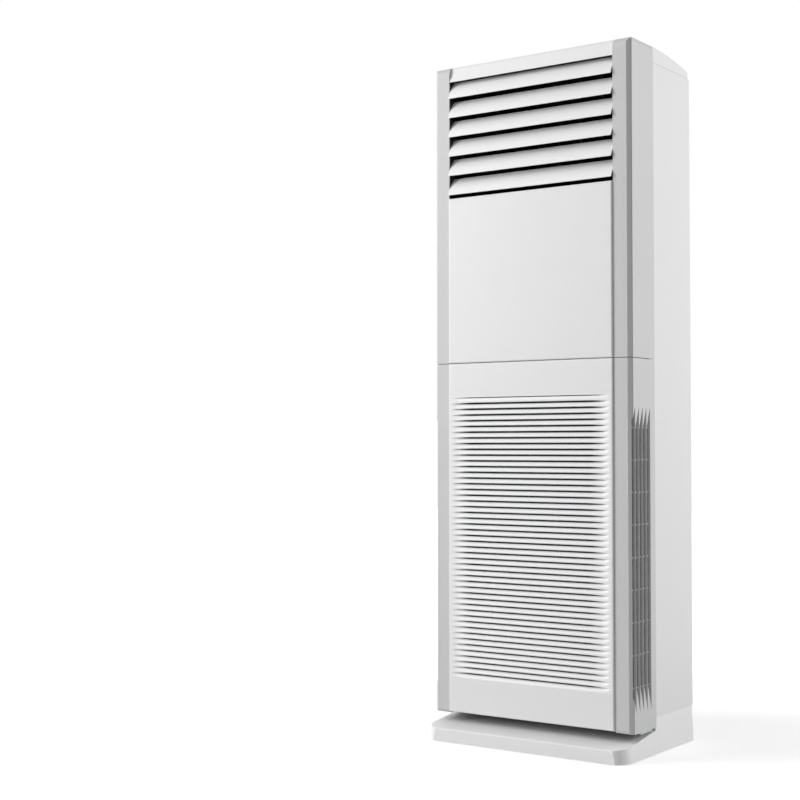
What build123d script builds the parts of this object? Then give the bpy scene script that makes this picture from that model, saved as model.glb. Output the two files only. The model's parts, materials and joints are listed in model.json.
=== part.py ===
"""Floor standing air conditioner: the cabinet indoor unit of a split system, piece by piece.

Millimetres.  +X runs to the right as seen from the front, +Y runs back and +Z up.  The origin
lies on the floor, under the middle of the outline.  A depth is measured back from the faces of
the front pillars; sections are drawn as (x, depth), (depth, height) or (x, height).
"""
import os
from math import acos, atan2, cos, degrees, hypot, radians, sin

from build123d import *

# ---- the cabinet -------------------------------------------------------------------------------
HEIGHT = 1760.0           # floor to the top of the cap
WIDTH = 572.0             # across the front pillars
CASE_DEPTH = 350.0        # pillar faces to the back of the casing
CASE_STEP = 4.0           # the steel sides lie this far inside the pillars' sides
SHEET = 1.0               # casing steel
FLANGE = 20.0             # folded edges of the casing steel
BODY_GAP = 1.0            # between a panel and the pillar beside it
CAP_HEIGHT = 42.0         # the top cover rises this far above the steel casing
CAP_ROUND = 5.0
CROWN_RADIUS = 1240.0     # the top is one shallow arc, seen from the side
CROWN_DEPTH = 108.0       # depth of its highest point
REAR_CORNER = 12.0        # upright corners at the back of the base and the cap
BEADS = 6                 # cross beads pressed into the back
BEAD_INSET = 60.0         # their ends to the sides, and the top one to the upper edge
BEAD_LOW = 302.0
REVEAL = 1.2              # groove where the base and the cap meet the steel
CUT = 1.0                 # cutters run past a face by this much
UPPER_FRONT = 786.0       # from the joint between the upper and the lower front to the top
SEAM_GAP = 1.6

# ---- the base ----------------------------------------------------------------------------------
BASE_HEIGHT = 92.0        # top of the base beside the casing
BASE_FLARE = 4.0          # how far the base spreads towards the floor
BASE_WALL = 3.0
BASE_RIM = 2.0            # the moulding ends this far above the floor
FOOT_REACH = 46.0         # the foot stands out this far in front of the pillars
FOOT_UNDERCUT = 1.0       # how far the foot draws back towards the floor
FOOT_CORNER = 46.0
LIP_HEIGHT = 35.0         # front of the foot
LIP_ROUND = 3.0
LIP_FACE = 9.0            # upright part at the top of the foot's front
DECK_HEIGHT = 59.0        # the ramp behind the lip climbs to this height
LEDGE = 24.0              # inner ledge that carries the floor pan
PAD_RADIUS = 17.0
PAD_HEIGHT = 6.0
PAD_INSET = 42.0          # pad centre to the side of the base
PAN_FRONT = 60.0          # depth of the pan's front edge
PAN_LIP = 14.0
BOSS_WALL = 3.0           # round a pad's stub

# ---- the front ---------------------------------------------------------------------------------
MOULD = 3.0               # wall of the moulded pillars
PILLAR_WIDTH = 47.0
PILLAR_DEPTH = 128.0
PILLAR_FOOT = 67.0        # height of the lower pillars' ends
PILLAR_ROUND = 10.0       # their front edge is rounded under
PILLAR_TURN = 14.0        # and turned in to this depth
PILLAR_LAP = 16.0         # overlap on the side panels
BAND_X = 10.0             # corner band: width to the side
BAND_Y = 11.0             # corner band: run back
BAND_STEP = 1.2           # the band lies this far below the faces beside it
CROWN = 22.0              # rounding at the top of the front
CROWN_SIDE = 13.0         # and at the top of a side
REBATE = 13.0             # width of the seat behind a panel's edge
REBATE_WALL = 2.5
PANEL_PROUD = 5.0         # panel faces stand out in front of the pillars
PANEL_SEAT = 16.0         # depth at which the panels seat
PANEL_WALL = 2.5
PANEL_ROUND = 3.5
DOOR_FOOT = 72.0          # lower edge of the intake panel
FASCIA_HEIGHT = 44.6      # strip over the louvres
FASCIA_SLANT = 14.0       # its face draws back this far

# ---- the intake grille -------------------------------------------------------------------------
GRILLE_PITCH = 14.8
GRILLE_FOOT = 161.8       # lower edge of the lowest slot's rib
GRILLE_SLOT = 6.0         # height of a slot
GRILLE_MARGIN = 86.2      # blank part over the slots, at least
GRILLE_SIDE = 6.0         # tips of the slots to the pillars
GRILLE_TAPER = 30.0       # length over which a slot runs to a point
GRILLE_THICK = 10.0       # depth of the ribs
GRILLE_SLANT = 4.0        # a rib's upper edge lies this far behind its lower one
GRILLE_LIP = 1.5          # upright part at a rib's lower edge
WEB_ROOT = 2.0            # the stiffeners reach this far into the ribs
STIFFENERS = 3
STIFFENER_WIDTH = 1.6
STIFFENER_DEPTH = 8.0

# ---- the side intakes --------------------------------------------------------------------------
SIDE_SLOTS = 5
SIDE_PITCH = 20.2
SIDE_FIRST = 16.0         # depth of the first slot's middle
SIDE_SLOT = 9.0
SIDE_THICK = 8.0
SIDE_SLANT = 5.0
SIDE_EDGE = 1.0           # flat edge left between two slots
SIDE_TIP_LOW = 108.0
SIDE_BODY_LOW = 176.0
SIDE_HEAD = 112.0         # upper tips to the seam
SIDE_POINT = 58.0         # length of the upper points
SIDE_LEAN = 7.0           # the tips lean back by this much
SIDE_RIBS = 9
SIDE_RIB = 2.4

# ---- the filter --------------------------------------------------------------------------------
FILTER_SIDE = 17.0        # edge of the filter to the pillars
FILTER_FOOT = 154.0
FILTER_THICK = 7.0
FILTER_DEPTH = 20.0       # its front face, behind the pillar faces
FILTER_BORDER = 12.0
FILTER_BAR = 4.0
FILTER_COLUMNS = 3
FILTER_ROWS = 6
FILTER_SHEET = 1.0
RAIL_WALL = 1.6
RAIL_PLAY = 0.4
RAIL_LIP = 7.0

# ---- the door's hinge --------------------------------------------------------------------------
HINGE_DEPTH = 8.5
HINGE_HEIGHT = 78.0
HINGE_PEG = 3.0
HINGE_PLAY = 0.3

# ---- the outlet --------------------------------------------------------------------------------
LOUVRES = 6
LOUVRE_PITCH = 50.9
LOUVRE_DROP = 88.8        # top of the unit to the lower edge of the top blade
LOUVRE_CHORD = 54.0
LOUVRE_LEAN = 33.7        # degrees from upright, upper edge back
LOUVRE_THICK = 2.4
LOUVRE_CAMBER = 3.0
LOUVRE_END = 1.2          # blade end to cheek
LOUVRE_PROUD = 6.5        # lower edges stand out this far in front of the pillars
PIVOT_RADIUS = 3.0
PIVOT_PLAY = 0.3
PIVOT_TAIL = 5.0          # how far a pivot runs out past its wall
PIVOT_ROOT = 3.0          # and how far into its blade
CRANK_ARM = 18.0
CRANK_HALF = 5.0
CRANK_THICK = 3.0
LINK_THICK = 2.0
LINK_HALF = 4.5
PIN_RADIUS = 1.8
PIN_PLAY = 0.25
SIDE_PLAY = 0.6           # beside a crank or a link
FRAME_WALL = 3.0
FRAME_BACK = 112.0
SILL_GAP = 10.0           # lowest blade to the sill
SILL_THICK = 4.5
SILL_GROOVE = 0.8         # groove under the panel's upper edge
FRAME_DROP = 34.0         # top of the unit to the underside of the frame's head
VANES = 7
VANE_PITCH = 62.0
VANE_DEPTH = 78.0         # depth of the vanes' pivots
VANE_CHORD = 56.0
VANE_THICK = 2.0
VANE_END = 2.0
VANE_ARM = 15.0
MOTOR_RADIUS = 10.5       # small stepping motors
MOTOR_LENGTH = 19.0
MOTOR_OFFSET = 8.0        # the shaft sits this far off the middle
MOTOR_EAR = 14.0
MOTOR_EAR_RADIUS = 3.5
MOTOR_EAR_THICK = 1.0

# ---- the air path ------------------------------------------------------------------------------
DECK_DROP = 74.0          # seam to the plate between the fan and the coil
PLATE_DROP = 14.5         # sill to the top of the coil's front plate
FOAM = 12.0
DUCT_THROAT = 35.0        # straight part of the duct's roof
SCROLL_FRONT = 160.0
SCROLL_REAR = 34.0        # back of the scroll to the back of the casing
SCROLL_RIGHT = 47.0       # side of the scroll to the side of the casing
SCROLL_LEFT = 53.0
SCROLL_STEP = 28.0        # growth of each quarter turn
SCROLL_LIP = 14.0
TONGUE_ROUND = 8.0        # nose of the tongue
FAN_DROP = 340.0          # the wheel's axis under the deck
FAN_CLEAR = 30.0          # wheel to the start of the scroll
FAN_GAP = 14.0            # wheel to the scroll's front plate
FAN_REAR = 18.0           # and to its back plate
FAN_BLADES = 36
FAN_BLADE = 1.6
BLADE_DEPTH = 29.0        # from the outer to the inner edge of a blade
FAN_SWEEP = 8.0           # degrees from a blade's inner edge to its outer one
FAN_PLATE = 2.0
CUP_RADIUS = 84.0
CUP_DEPTH = 66.0
HUB_RADIUS = 15.0
HUB_NOSE = 18.0           # the hub stands out in front of the cup
SHAFT_RADIUS = 6.0
SHAFT_NOSE = 10.0         # and the shaft in front of the hub
SHAFT_PLAY = 0.3
SHAFT_NUT = 12.0          # across the corners, from the middle
SHAFT_NUT_LENGTH = 7.5
SHAFT_FREE = 22.5         # the shaft ends this far inside the motor's back
INLET_STEP = 9.0          # the inlet is this much inside the blades
BELL_ROUND = 16.0
BELL_REACH = 6.0          # the bell mouth runs this far into the wheel
DRIVE_RADIUS = 68.0
DRIVE_GAP = 10.0          # cup to the motor
DRIVE_CHAMFER = 8.0
BORE_END = 15.0           # metal left behind the shaft's bore
EAR_REACH = 88.0
EAR_RADIUS = 9.0
EAR_THICK = 3.0
EAR_GAP = 2.0             # wheel to the ears
GROMMET_RADIUS = 8.0
BRACKET_DEPTH = 5.0

# ---- the coil ----------------------------------------------------------------------------------
COIL_SIDE = 47.0          # fins to the side of the casing
COIL_FOOT_DEPTH = 150.0
COIL_LIFT = 28.0          # foot of the coil over the deck
COIL_HEADROOM = 40.4      # head of the coil to the top of its front plate
COIL_REAR = 44.4          # and to the back of the casing
COIL_THICK = 44.0
COIL_RIM = 4.0
TUBES = 12
TUBE_RADIUS = 4.8
TUBE_STUB = 4.0
FINS = 48
FIN_THICK = 1.0
TRAY_FRONT = 112.0
TRAY_BACK = 200.0
TRAY_HEIGHT = 24.0
TRAY_WALL = 2.5
TRAY_PLAY = 2.0           # beside the side panels
SPOUT = 18.0              # length under the deck
SPOUT_WALL = 1.5
GAS_RADIUS = 7.9
LIQUID_RADIUS = 4.8
PIPE_SIDE = 22.0          # upright pipes and hose to the side of the casing
LIQUID_REAR = 82.0        # liquid pipe to the back of the casing
PIPE_END = 262.0
PIPE_HOLE = 2.0           # clearance round pipes in the deck
NUT_WALL = 4.4            # flare nuts
NUT_LENGTH = 15.0
HOSE_RADIUS = 9.0
HOSE_BORE = 7.0
HOSE_END = 150.0
EXIT_SIDE = 112.0         # hole for the pipes to the side of the casing
EXIT_HEIGHT = 182.0
EXIT_RADIUS = 32.0
EXIT_LIP = 6.0
GROMMET_WALL = 3.0

# ---- the electrics -----------------------------------------------------------------------------
BOX_SIDE = 14.0           # controls' box to the left pillar
BOX_WIDTH = 210.0
BOX_LIFT = 36.0           # over the seam
BOX_DROP = 66.0           # under the top of the coil's front plate
BOX_FRONT = 46.0
BOX_SHEET = 1.0
LID_LAP = 10.0
LID_PLAY = 0.2
BOARD = 1.6
BOARD_LIFT = 110.0        # over the box's foot
BOARD_INSET = 15.0
STAND_OFF = 8.0
POST_RADIUS = 3.0
POST_INSET = 8.0
RELAYS = 4
RELAY_PITCH = 36.0
RELAY = 22.0              # side of a relay
RELAY_RISE = 16.0
CHOKE_WIDE = 59.0
CHOKE_TALL = 52.0
CHOKE_DROP = 100.0        # its foot under the box's head
CHOKE_RISE = 28.0
CAPACITOR_RADIUS = 11.0
CAPACITOR_SIDE = 69.0     # to the box's right side
TERMINALS = 5
TERMINAL_PITCH = 22.0
TERMINAL_TALL = 32.0
TERMINAL_RISE = 22.0
TERMINAL_LIFT = 30.0      # over the box's foot
TERMINAL_WELL = 6.0
WELL_DEPTH = 8.0
RECEIVER_LEFT = 50.0
RECEIVER_WIDE = 120.0
RECEIVER_DROP = 130.5     # its foot under the sill
RECEIVER_TALL = 50.0
RECEIVER_INSET = 10.0     # post centre to the receiver board's edge
RECEIVER_EYE = 4.0
RECEIVER_RISE = 5.0

# ---- fasteners ---------------------------------------------------------------------------------
SCREW_HEAD = 4.2
SCREW_HEIGHT = 2.0
SCREW_SHANK = 1.9
SCREW_PLAY = 0.2
SCREW_LENGTH = 8.0
SCREW_ROWS = 6

# ---- places worked out from the sizes above ----------------------------------------------------
FRONT = FOOT_REACH - (FOOT_REACH + CASE_DEPTH + BASE_FLARE) / 2
HALF = WIDTH / 2
CASE_HALF = HALF - CASE_STEP
CASE_INNER = CASE_HALF - SHEET
CASE_TOP = HEIGHT - CAP_HEIGHT
PILLAR_INNER = HALF - PILLAR_WIDTH
PANEL_HALF = PILLAR_INNER - BODY_GAP
SIDE_FRONT = PILLAR_DEPTH - PILLAR_LAP - MOULD - BODY_GAP

SEAM = HEIGHT - UPPER_FRONT
FASCIA_FOOT = HEIGHT - FASCIA_HEIGHT
GRILLE_COUNT = int((SEAM - GRILLE_MARGIN - GRILLE_FOOT) / GRILLE_PITCH)
GRILLE_HEAD = GRILLE_FOOT + GRILLE_COUNT * GRILLE_PITCH
GRILLE_HALF = PILLAR_INNER - GRILLE_SIDE
SIDE_TIP_HIGH = SEAM - SIDE_HEAD
SIDE_BODY_HIGH = SIDE_TIP_HIGH - SIDE_POINT
FILTER_HALF = PILLAR_INNER - FILTER_SIDE
FILTER_HEIGHT = GRILLE_HEAD - GRILLE_FOOT

LOUVRE_TOP = HEIGHT - LOUVRE_DROP
LOUVRE_TILT = radians(LOUVRE_LEAN)
LOUVRE_DEPTH = LOUVRE_CHORD / 2 * sin(LOUVRE_TILT) - LOUVRE_PROUD
LOUVRE_RISE = LOUVRE_CHORD / 2 * cos(LOUVRE_TILT)
SILL_HEIGHT = LOUVRE_TOP - (LOUVRES - 1) * LOUVRE_PITCH - SILL_GAP
CHEEK = PILLAR_INNER
CRANK_X = CHEEK + FRAME_WALL + SIDE_PLAY
LINK_X = CRANK_X + CRANK_THICK + SIDE_PLAY
FRAME_TOP = HEIGHT - FRAME_DROP
FRAME_HEAD = FRAME_TOP + FRAME_WALL
DUCT_PASS = FRAME_TOP + FOAM + BODY_GAP
DUCT_BACK = CASE_DEPTH - SHEET - FOAM
DUCT_BEND = DUCT_BACK - FRAME_BACK - DUCT_THROAT

DECK = SEAM - DECK_DROP
PLATE_HEIGHT = SILL_HEIGHT - PLATE_DROP
SCROLL_BACK = CASE_DEPTH - SCROLL_REAR
SCROLL_START = CASE_HALF - (SCROLL_LEFT + SCROLL_RIGHT + 3 * SCROLL_STEP) / 2
FAN_X = CASE_HALF - SCROLL_RIGHT - SCROLL_START - 2.5 * SCROLL_STEP
FAN_Z = DECK - FAN_DROP
FAN_RADIUS = SCROLL_START - FAN_CLEAR
FAN_INNER = FAN_RADIUS - BLADE_DEPTH
INLET_RADIUS = FAN_INNER - INLET_STEP
FAN_FRONT = SCROLL_FRONT + FAN_GAP
FAN_BACK = SCROLL_BACK - FAN_REAR
CUP_FRONT = FAN_BACK - CUP_DEPTH
HUB_FRONT = CUP_FRONT - HUB_NOSE
SHAFT_FRONT = HUB_FRONT - SHAFT_NOSE
DRIVE_FRONT = CUP_FRONT + DRIVE_GAP
EAR_FRONT = FAN_BACK + EAR_GAP
EAR_BACK = EAR_FRONT + EAR_THICK
BRACKET_FRONT = SCROLL_BACK - BRACKET_DEPTH

COIL_HALF = CASE_HALF - COIL_SIDE
COIL_FOOT_HEIGHT = DECK + COIL_LIFT
COIL_RUN = CASE_DEPTH - COIL_REAR - COIL_FOOT_DEPTH
COIL_RISE = PLATE_HEIGHT - COIL_HEADROOM - COIL_FOOT_HEIGHT
COIL_LENGTH = hypot(COIL_RUN, COIL_RISE)
COIL_LEAN = atan2(COIL_RUN, COIL_RISE)
PIPE_X = CASE_HALF - PIPE_SIDE
LIQUID_DEPTH = CASE_DEPTH - LIQUID_REAR
EXIT_X = CASE_HALF - EXIT_SIDE

BOX_LEFT = BOX_SIDE - PILLAR_INNER
BOX_RIGHT = BOX_LEFT + BOX_WIDTH
BOX_FOOT = SEAM + BOX_LIFT
BOX_HEAD = PLATE_HEIGHT - BOX_DROP
BOARD_FOOT = BOX_FOOT + BOARD_LIFT
BOARD_BACK = SIDE_FRONT - SHEET - BOX_SHEET
CHOKE_FOOT = BOX_HEAD - CHOKE_DROP
TERMINAL_FOOT = BOX_FOOT + TERMINAL_LIFT
RECEIVER_FOOT = SILL_HEIGHT - RECEIVER_DROP
PARTS = {}


def across(section, x0, x1):
    """Run a section drawn as (depth, height) sideways from x0 to x1."""
    return extrude(Plane.YZ.offset(x0) * Pos(FRONT, 0) * section, amount=x1 - x0)


def upright(section, z0, z1, taper=0.0):
    """Run a section drawn as (x, depth) up from z0 to z1."""
    return extrude(Pos(0, FRONT, z0) * section, amount=z1 - z0, taper=taper)


def through(section, d0, d1):
    """Run a section drawn as (x, height) back from depth d0 to depth d1."""
    return extrude(Plane.XZ.offset(-FRONT - d0) * section, amount=d0 - d1)


def outline(*points):
    """A face inside straight lines; a point that repeats the next one is passed over."""
    corners = [a for a, b in zip(points, points[1:] + points[:1]) if a != b]
    return make_face(Polyline(*corners, close=True))


def block(x0, x1, y0, y1):
    """A rectangle between two corners."""
    return Pos((x0 + x1) / 2, (y0 + y1) / 2) * Rectangle(x1 - x0, y1 - y0)


def brick(x0, x1, d0, d1, z0, z1):
    """A rectangular solid between two corners."""
    return upright(block(x0, x1, d0, d1), z0, z1)


def folded(thickness, *points):
    """The section of a folded sheet whose outer side runs through the points, turning left."""
    return make_face(offset(Polyline(*points), amount=thickness, kind=Kind.INTERSECTION,
                            side=Side.LEFT, closed=True))


def rounded(face, radius, *near):
    """Round the corners of a face that lie at the given points."""
    corners = [face.vertices().sort_by_distance(point)[0] for point in near]
    return fillet(corners, radius)


def rod(x, d, z0, z1, radius):
    """An upright cylinder."""
    return Pos(x, FRONT + d, z0) * extrude(Circle(radius), z1 - z0)


def axle(d, z, x0, x1, radius):
    """A cylinder that lies across the unit."""
    return across(Pos(d, z) * Circle(radius), x0, x1)


def spindle(x, z, d0, d1, radius):
    """A cylinder that runs front to back."""
    return through(Pos(x, z) * Circle(radius), d0, d1)


def turned(section, x, z):
    """Turn a section drawn as (radius, depth) about the fan's or a pipe's front-to-back axis."""
    return Pos(x, FRONT, z) * revolve(section, Axis.Y)


def union(pieces):
    """Fuse a list of solids in one go."""
    first, *rest = pieces
    return first.fuse(*rest) if rest else first


def keep(name, shape):
    """Name a piece of the assembly."""
    PARTS[name] = shape


# ---- base --------------------------------------------------------------------------------------
def base_plan(inset):
    """Outline of the base on the floor, drawn in by an inset; the rear corners are tighter."""
    half = CASE_HALF + BASE_FLARE - inset
    front = -FOOT_REACH - BASE_FLARE + inset
    back = CASE_DEPTH + BASE_FLARE - inset
    plan = block(-half, half, front, back)
    plan = rounded(plan, FOOT_CORNER - inset, (-half, front), (half, front))
    return rounded(plan, REAR_CORNER - inset, (-half, back), (half, back))


def base_profile(inset, deck):
    """Side view of the base: foot, ramp and the part under the casing."""
    lip = LIP_HEIGHT - inset
    step = PILLAR_DEPTH + BODY_GAP
    profile = outline((-FOOT_REACH + FOOT_UNDERCUT + inset, BASE_RIM),
                      (-FOOT_REACH + inset, LIP_HEIGHT - LIP_FACE), (-FOOT_REACH + inset, lip),
                      (step, DECK_HEIGHT - inset), (step, deck), (CASE_DEPTH + FOOT_REACH, deck),
                      (CASE_DEPTH + FOOT_REACH, BASE_RIM))
    return rounded(profile, LIP_ROUND, (-FOOT_REACH + inset, lip))


def base_plinth():
    """Moulded base with the foot in front, open below, with a ledge for the floor pan."""
    draw_in = degrees(atan2(BASE_FLARE, BASE_HEIGHT))
    tall = BASE_HEIGHT - BASE_RIM
    reach = HALF + FOOT_REACH
    skin = upright(base_plan(0), BASE_RIM, BASE_RIM + tall, draw_in)
    skin &= across(base_profile(0, BASE_HEIGHT), -reach, reach)
    hollow = upright(base_plan(BASE_WALL), BASE_RIM, BASE_RIM + tall, draw_in)
    hollow &= across(base_profile(BASE_WALL, DECK_HEIGHT - BASE_WALL), -reach, reach)
    inner = CASE_HALF - BASE_WALL
    back = CASE_DEPTH - BASE_WALL
    well = brick(-inner, inner, PAN_FRONT, back, DECK_HEIGHT, BASE_HEIGHT + BASE_WALL)
    window = brick(-inner + LEDGE, inner - LEDGE, PILLAR_DEPTH + LEDGE, back - LEDGE,
                   BASE_RIM, DECK_HEIGHT + BASE_WALL)
    bosses = union([rod(x, d, PAD_HEIGHT, DECK_HEIGHT, PAD_RADIUS + BOSS_WALL)
                    for x, d in pad_places()])
    groove = reveal(base_plan(BASE_FLARE + REVEAL), BASE_HEIGHT - REVEAL)
    return (skin - hollow + (bosses & skin)) - well - window - groove


def reveal(plan, z0):
    """Cutter for the fine groove round a moulding, outside a plan, from a height up."""
    wide = CASE_HALF + FLANGE
    start = PILLAR_DEPTH - PILLAR_LAP
    return upright(block(-wide, wide, start, CASE_DEPTH + FLANGE) - plan, z0, z0 + REVEAL)


def pad_places():
    """Places of the four pads under the base."""
    x = CASE_HALF - PAD_INSET
    depths = (PAD_INSET - FOOT_REACH, CASE_DEPTH - PAD_INSET)
    return [(side * x, d) for side in (-1, 1) for d in depths]


def rubber_pads():
    """Four round pads that carry the unit."""
    pad = extrude(Circle(PAD_RADIUS), PAD_HEIGHT)
    pad = chamfer(pad.edges().group_by(Axis.Z)[0], PAD_HEIGHT / 4)
    return Compound([Pos(x, FRONT + d) * pad for x, d in pad_places()])


def floor_pan():
    """Folded steel pan that closes the cabinet at the base."""
    half = CASE_HALF - BASE_WALL - BODY_GAP
    back = CASE_DEPTH - BASE_WALL - BODY_GAP
    top = DECK_HEIGHT + PAN_LIP
    tray = brick(-half, half, PAN_FRONT, back, DECK_HEIGHT, top)
    return tray - brick(-half + SHEET, half - SHEET, PAN_FRONT + SHEET, back - SHEET,
                        DECK_HEIGHT + SHEET, top)


# ---- casing ------------------------------------------------------------------------------------
def side_panel():
    """Right side panel: folded inwards at the front, the back, the top and the bottom."""
    back = CASE_DEPTH - SHEET
    inner = CASE_HALF - FLANGE
    wall = folded(SHEET, (inner, SIDE_FRONT), (CASE_HALF, SIDE_FRONT), (CASE_HALF, back),
                  (inner, back))
    panel = upright(wall, BASE_HEIGHT, CASE_TOP)
    seat = block(inner, CASE_INNER, SIDE_FRONT + SHEET, back - SHEET)
    panel += upright(seat, BASE_HEIGHT, BASE_HEIGHT + SHEET)
    panel += upright(seat, CASE_TOP - SHEET, CASE_TOP)
    return panel.cut(*screw_holes())


def rear_panel():
    """Steel back with pressed cross beads and the hole for the pipes."""
    half = CASE_HALF - SHEET
    front = CASE_DEPTH - SHEET
    hole = EXIT_RADIUS + GROMMET_WALL
    panel = brick(-half, half, front, CASE_DEPTH, BASE_HEIGHT, CASE_TOP)
    panel = panel.fuse(*pressed(0, CASE_DEPTH, CASE_DEPTH + SHEET))
    panel = panel.cut(*pressed(SHEET, front, CASE_DEPTH), *screw_holes())
    return panel - spindle(EXIT_X, EXIT_HEIGHT, front, CASE_DEPTH, hole)


def pressed(inset, d0, d1):
    """The beads of the back as solids, drawn in by an inset."""
    bead = SlotOverall(2 * (CASE_HALF - BEAD_INSET - inset), FLANGE - 2 * inset)
    rise = (CASE_TOP - BEAD_INSET - BEAD_LOW) / (BEADS - 1)
    return [through(Pos(0, BEAD_LOW + k * rise) * bead, d0, d1) for k in range(BEADS)]


def pipe_grommet():
    """Bush that lines the pipe hole and clips to both sides of the steel."""
    inside = CASE_DEPTH - SHEET
    outside = CASE_DEPTH + GROMMET_WALL
    neck = EXIT_RADIUS + GROMMET_WALL
    lip = EXIT_RADIUS + EXIT_LIP
    section = outline((EXIT_RADIUS, inside - GROMMET_WALL), (lip, inside - GROMMET_WALL),
                      (lip, inside), (neck, inside), (neck, CASE_DEPTH), (lip, CASE_DEPTH),
                      (lip, outside), (EXIT_RADIUS, outside))
    return turned(section, EXIT_X, EXIT_HEIGHT)


def crown(inset):
    """The space under the shallow arc of the top, seen from the side, drawn in by an inset."""
    return Pos(CROWN_DEPTH, HEIGHT - CROWN_RADIUS) * Circle(CROWN_RADIUS - inset)


def cap_plan(inset):
    """Plan of the top cover from the front wall back, with rounded rear corners."""
    half = CASE_HALF - inset
    back = CASE_DEPTH - inset
    plan = block(-half, half, PILLAR_DEPTH + inset, back)
    return rounded(plan, REAR_CORNER - inset, (-half, back), (half, back))


def cap_body(inset):
    """The top cover's outer form, drawn in by an inset: its rim is rounded all round."""
    body = upright(cap_plan(inset), CASE_TOP, HEIGHT)
    body &= across(block(0, CASE_DEPTH, CASE_TOP, HEIGHT) & crown(inset), -HALF, HALF)
    lid = body.faces().sort_by(Axis.Z)[-1]
    rim = lid.edges().filter_by(lambda edge: edge.center().Y > FRONT + PILLAR_DEPTH + CUT + inset)
    return fillet(rim, CAP_ROUND - inset)


def top_cover():
    """Moulded cap behind the front, open below and, for the duct, in its front wall."""
    passage = CHEEK + FOAM + BODY_GAP
    cap = cap_body(0) - cap_body(PANEL_WALL) - reveal(cap_plan(REVEAL), CASE_TOP)
    return cap - brick(-passage, passage, 0, PILLAR_DEPTH + CROWN, CASE_TOP, DUCT_PASS)


def fascia_inside(z):
    """Point of the fascia's inner face at a height."""
    return (MOULD + FASCIA_SLANT * (z - FASCIA_FOOT) / (HEIGHT - FASCIA_FOOT), z)


def top_fascia():
    """White strip over the louvres, which also roofs the space between the pillars."""
    inner = PILLAR_DEPTH - PANEL_WALL
    form = outline((0, FASCIA_FOOT), (FASCIA_SLANT, HEIGHT), (PILLAR_DEPTH, HEIGHT),
                   (PILLAR_DEPTH, FASCIA_FOOT)) & crown(0)
    form = rounded(form, CROWN / 2, (FASCIA_SLANT, HEIGHT))
    hollow = outline(fascia_inside(FASCIA_FOOT), fascia_inside(HEIGHT), (inner, HEIGHT),
                     (inner, FASCIA_FOOT)) & crown(PANEL_WALL)
    face = form - hollow - block(PANEL_SEAT, PILLAR_DEPTH, FASCIA_FOOT, DUCT_PASS)
    return across(face, -PILLAR_INNER, PILLAR_INNER)


# ---- pillars -----------------------------------------------------------------------------------
def pillar_outside(inner):
    """Plan of a right pillar filled in, with the sunk band across its outer corner."""
    return outline((inner, 0), (HALF - BAND_X, 0), (HALF - BAND_X, BAND_STEP),
                   (HALF - BAND_STEP, BAND_Y), (HALF, BAND_Y), (HALF, PILLAR_DEPTH),
                   (inner, PILLAR_DEPTH))


def pillar_inside():
    """Plan of the space inside a right pillar, open to the middle and the back."""
    wall = HALF - MOULD
    lap = PILLAR_DEPTH - PILLAR_LAP
    past = PILLAR_DEPTH + MOULD
    return outline((0, MOULD), (HALF - BAND_X - MOULD, MOULD), (wall, BAND_Y + MOULD / 2),
                   (wall, lap), (CASE_HALF, lap), (CASE_HALF, past), (0, past))


def pillar_seat(z0, z1, ledge):
    """Return wall beside a panel's edge and, from a height up, the ledge behind the panel."""
    far = PANEL_SEAT + REBATE_WALL
    wall = block(PILLAR_INNER, PILLAR_INNER + REBATE_WALL, MOULD, far)
    seat = block(PILLAR_INNER - REBATE, PILLAR_INNER, PANEL_SEAT, far)
    return upright(wall, z0, z1) + upright(seat, ledge, z1)


def pillar_view(inset, foot):
    """Side view of an upper pillar, drawn in by an inset: rounded over under the crown."""
    view = block(inset, PILLAR_DEPTH + inset, foot, HEIGHT) & crown(inset)
    return rounded(view, CROWN - inset, (inset, HEIGHT))


def pillar_face(inset, foot):
    """Front view of a right upper pillar, drawn in by an inset."""
    side = HALF - inset
    return rounded(block(0, side, foot, HEIGHT - inset), CROWN_SIDE - inset,
                   (side, HEIGHT - inset))


def upper_pillar():
    """Right upper pillar: rounded over at the top, open behind the louvres."""
    foot = SEAM + SEAM_GAP / 2
    body = upright(pillar_outside(PILLAR_INNER), foot, HEIGHT)
    body &= across(pillar_view(0, foot), 0, HALF)
    body &= through(pillar_face(0, foot), 0, PILLAR_DEPTH)
    hollow = upright(pillar_inside(), foot, HEIGHT - MOULD)
    hollow &= across(pillar_view(MOULD, foot), 0, HALF)
    hollow &= through(pillar_face(MOULD, foot), 0, PILLAR_DEPTH + MOULD)
    side = block(PILLAR_INNER, PILLAR_INNER + REBATE_WALL, MOULD, PANEL_SEAT)
    end = body & upright(side, FRAME_HEAD + BODY_GAP, HEIGHT)
    return body - hollow + end + pillar_seat(foot, SILL_HEIGHT - SILL_THICK, foot)


def side_cutter(middle):
    """One slot of the side intake: slanted lead-in, pointed ends that lean back."""
    near = middle - SIDE_SLOT / 2
    far = middle + SIDE_SLOT / 2
    start = far - SIDE_PITCH + SIDE_EDGE
    outer = HALF + CUT
    inner = HALF - SIDE_THICK - CUT
    plan = outline((outer, start), (HALF, start), (HALF - SIDE_SLANT, near), (inner, near),
                   (inner, far), (outer, far))
    tip = middle + SIDE_LEAN
    view = outline((start, SIDE_BODY_LOW), (tip, SIDE_TIP_LOW), (far, SIDE_BODY_LOW),
                   (far, SIDE_BODY_HIGH), (tip, SIDE_TIP_HIGH), (start, SIDE_BODY_HIGH))
    return upright(plan, SIDE_TIP_LOW, SIDE_TIP_HIGH) & across(view, 0, outer)


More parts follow.
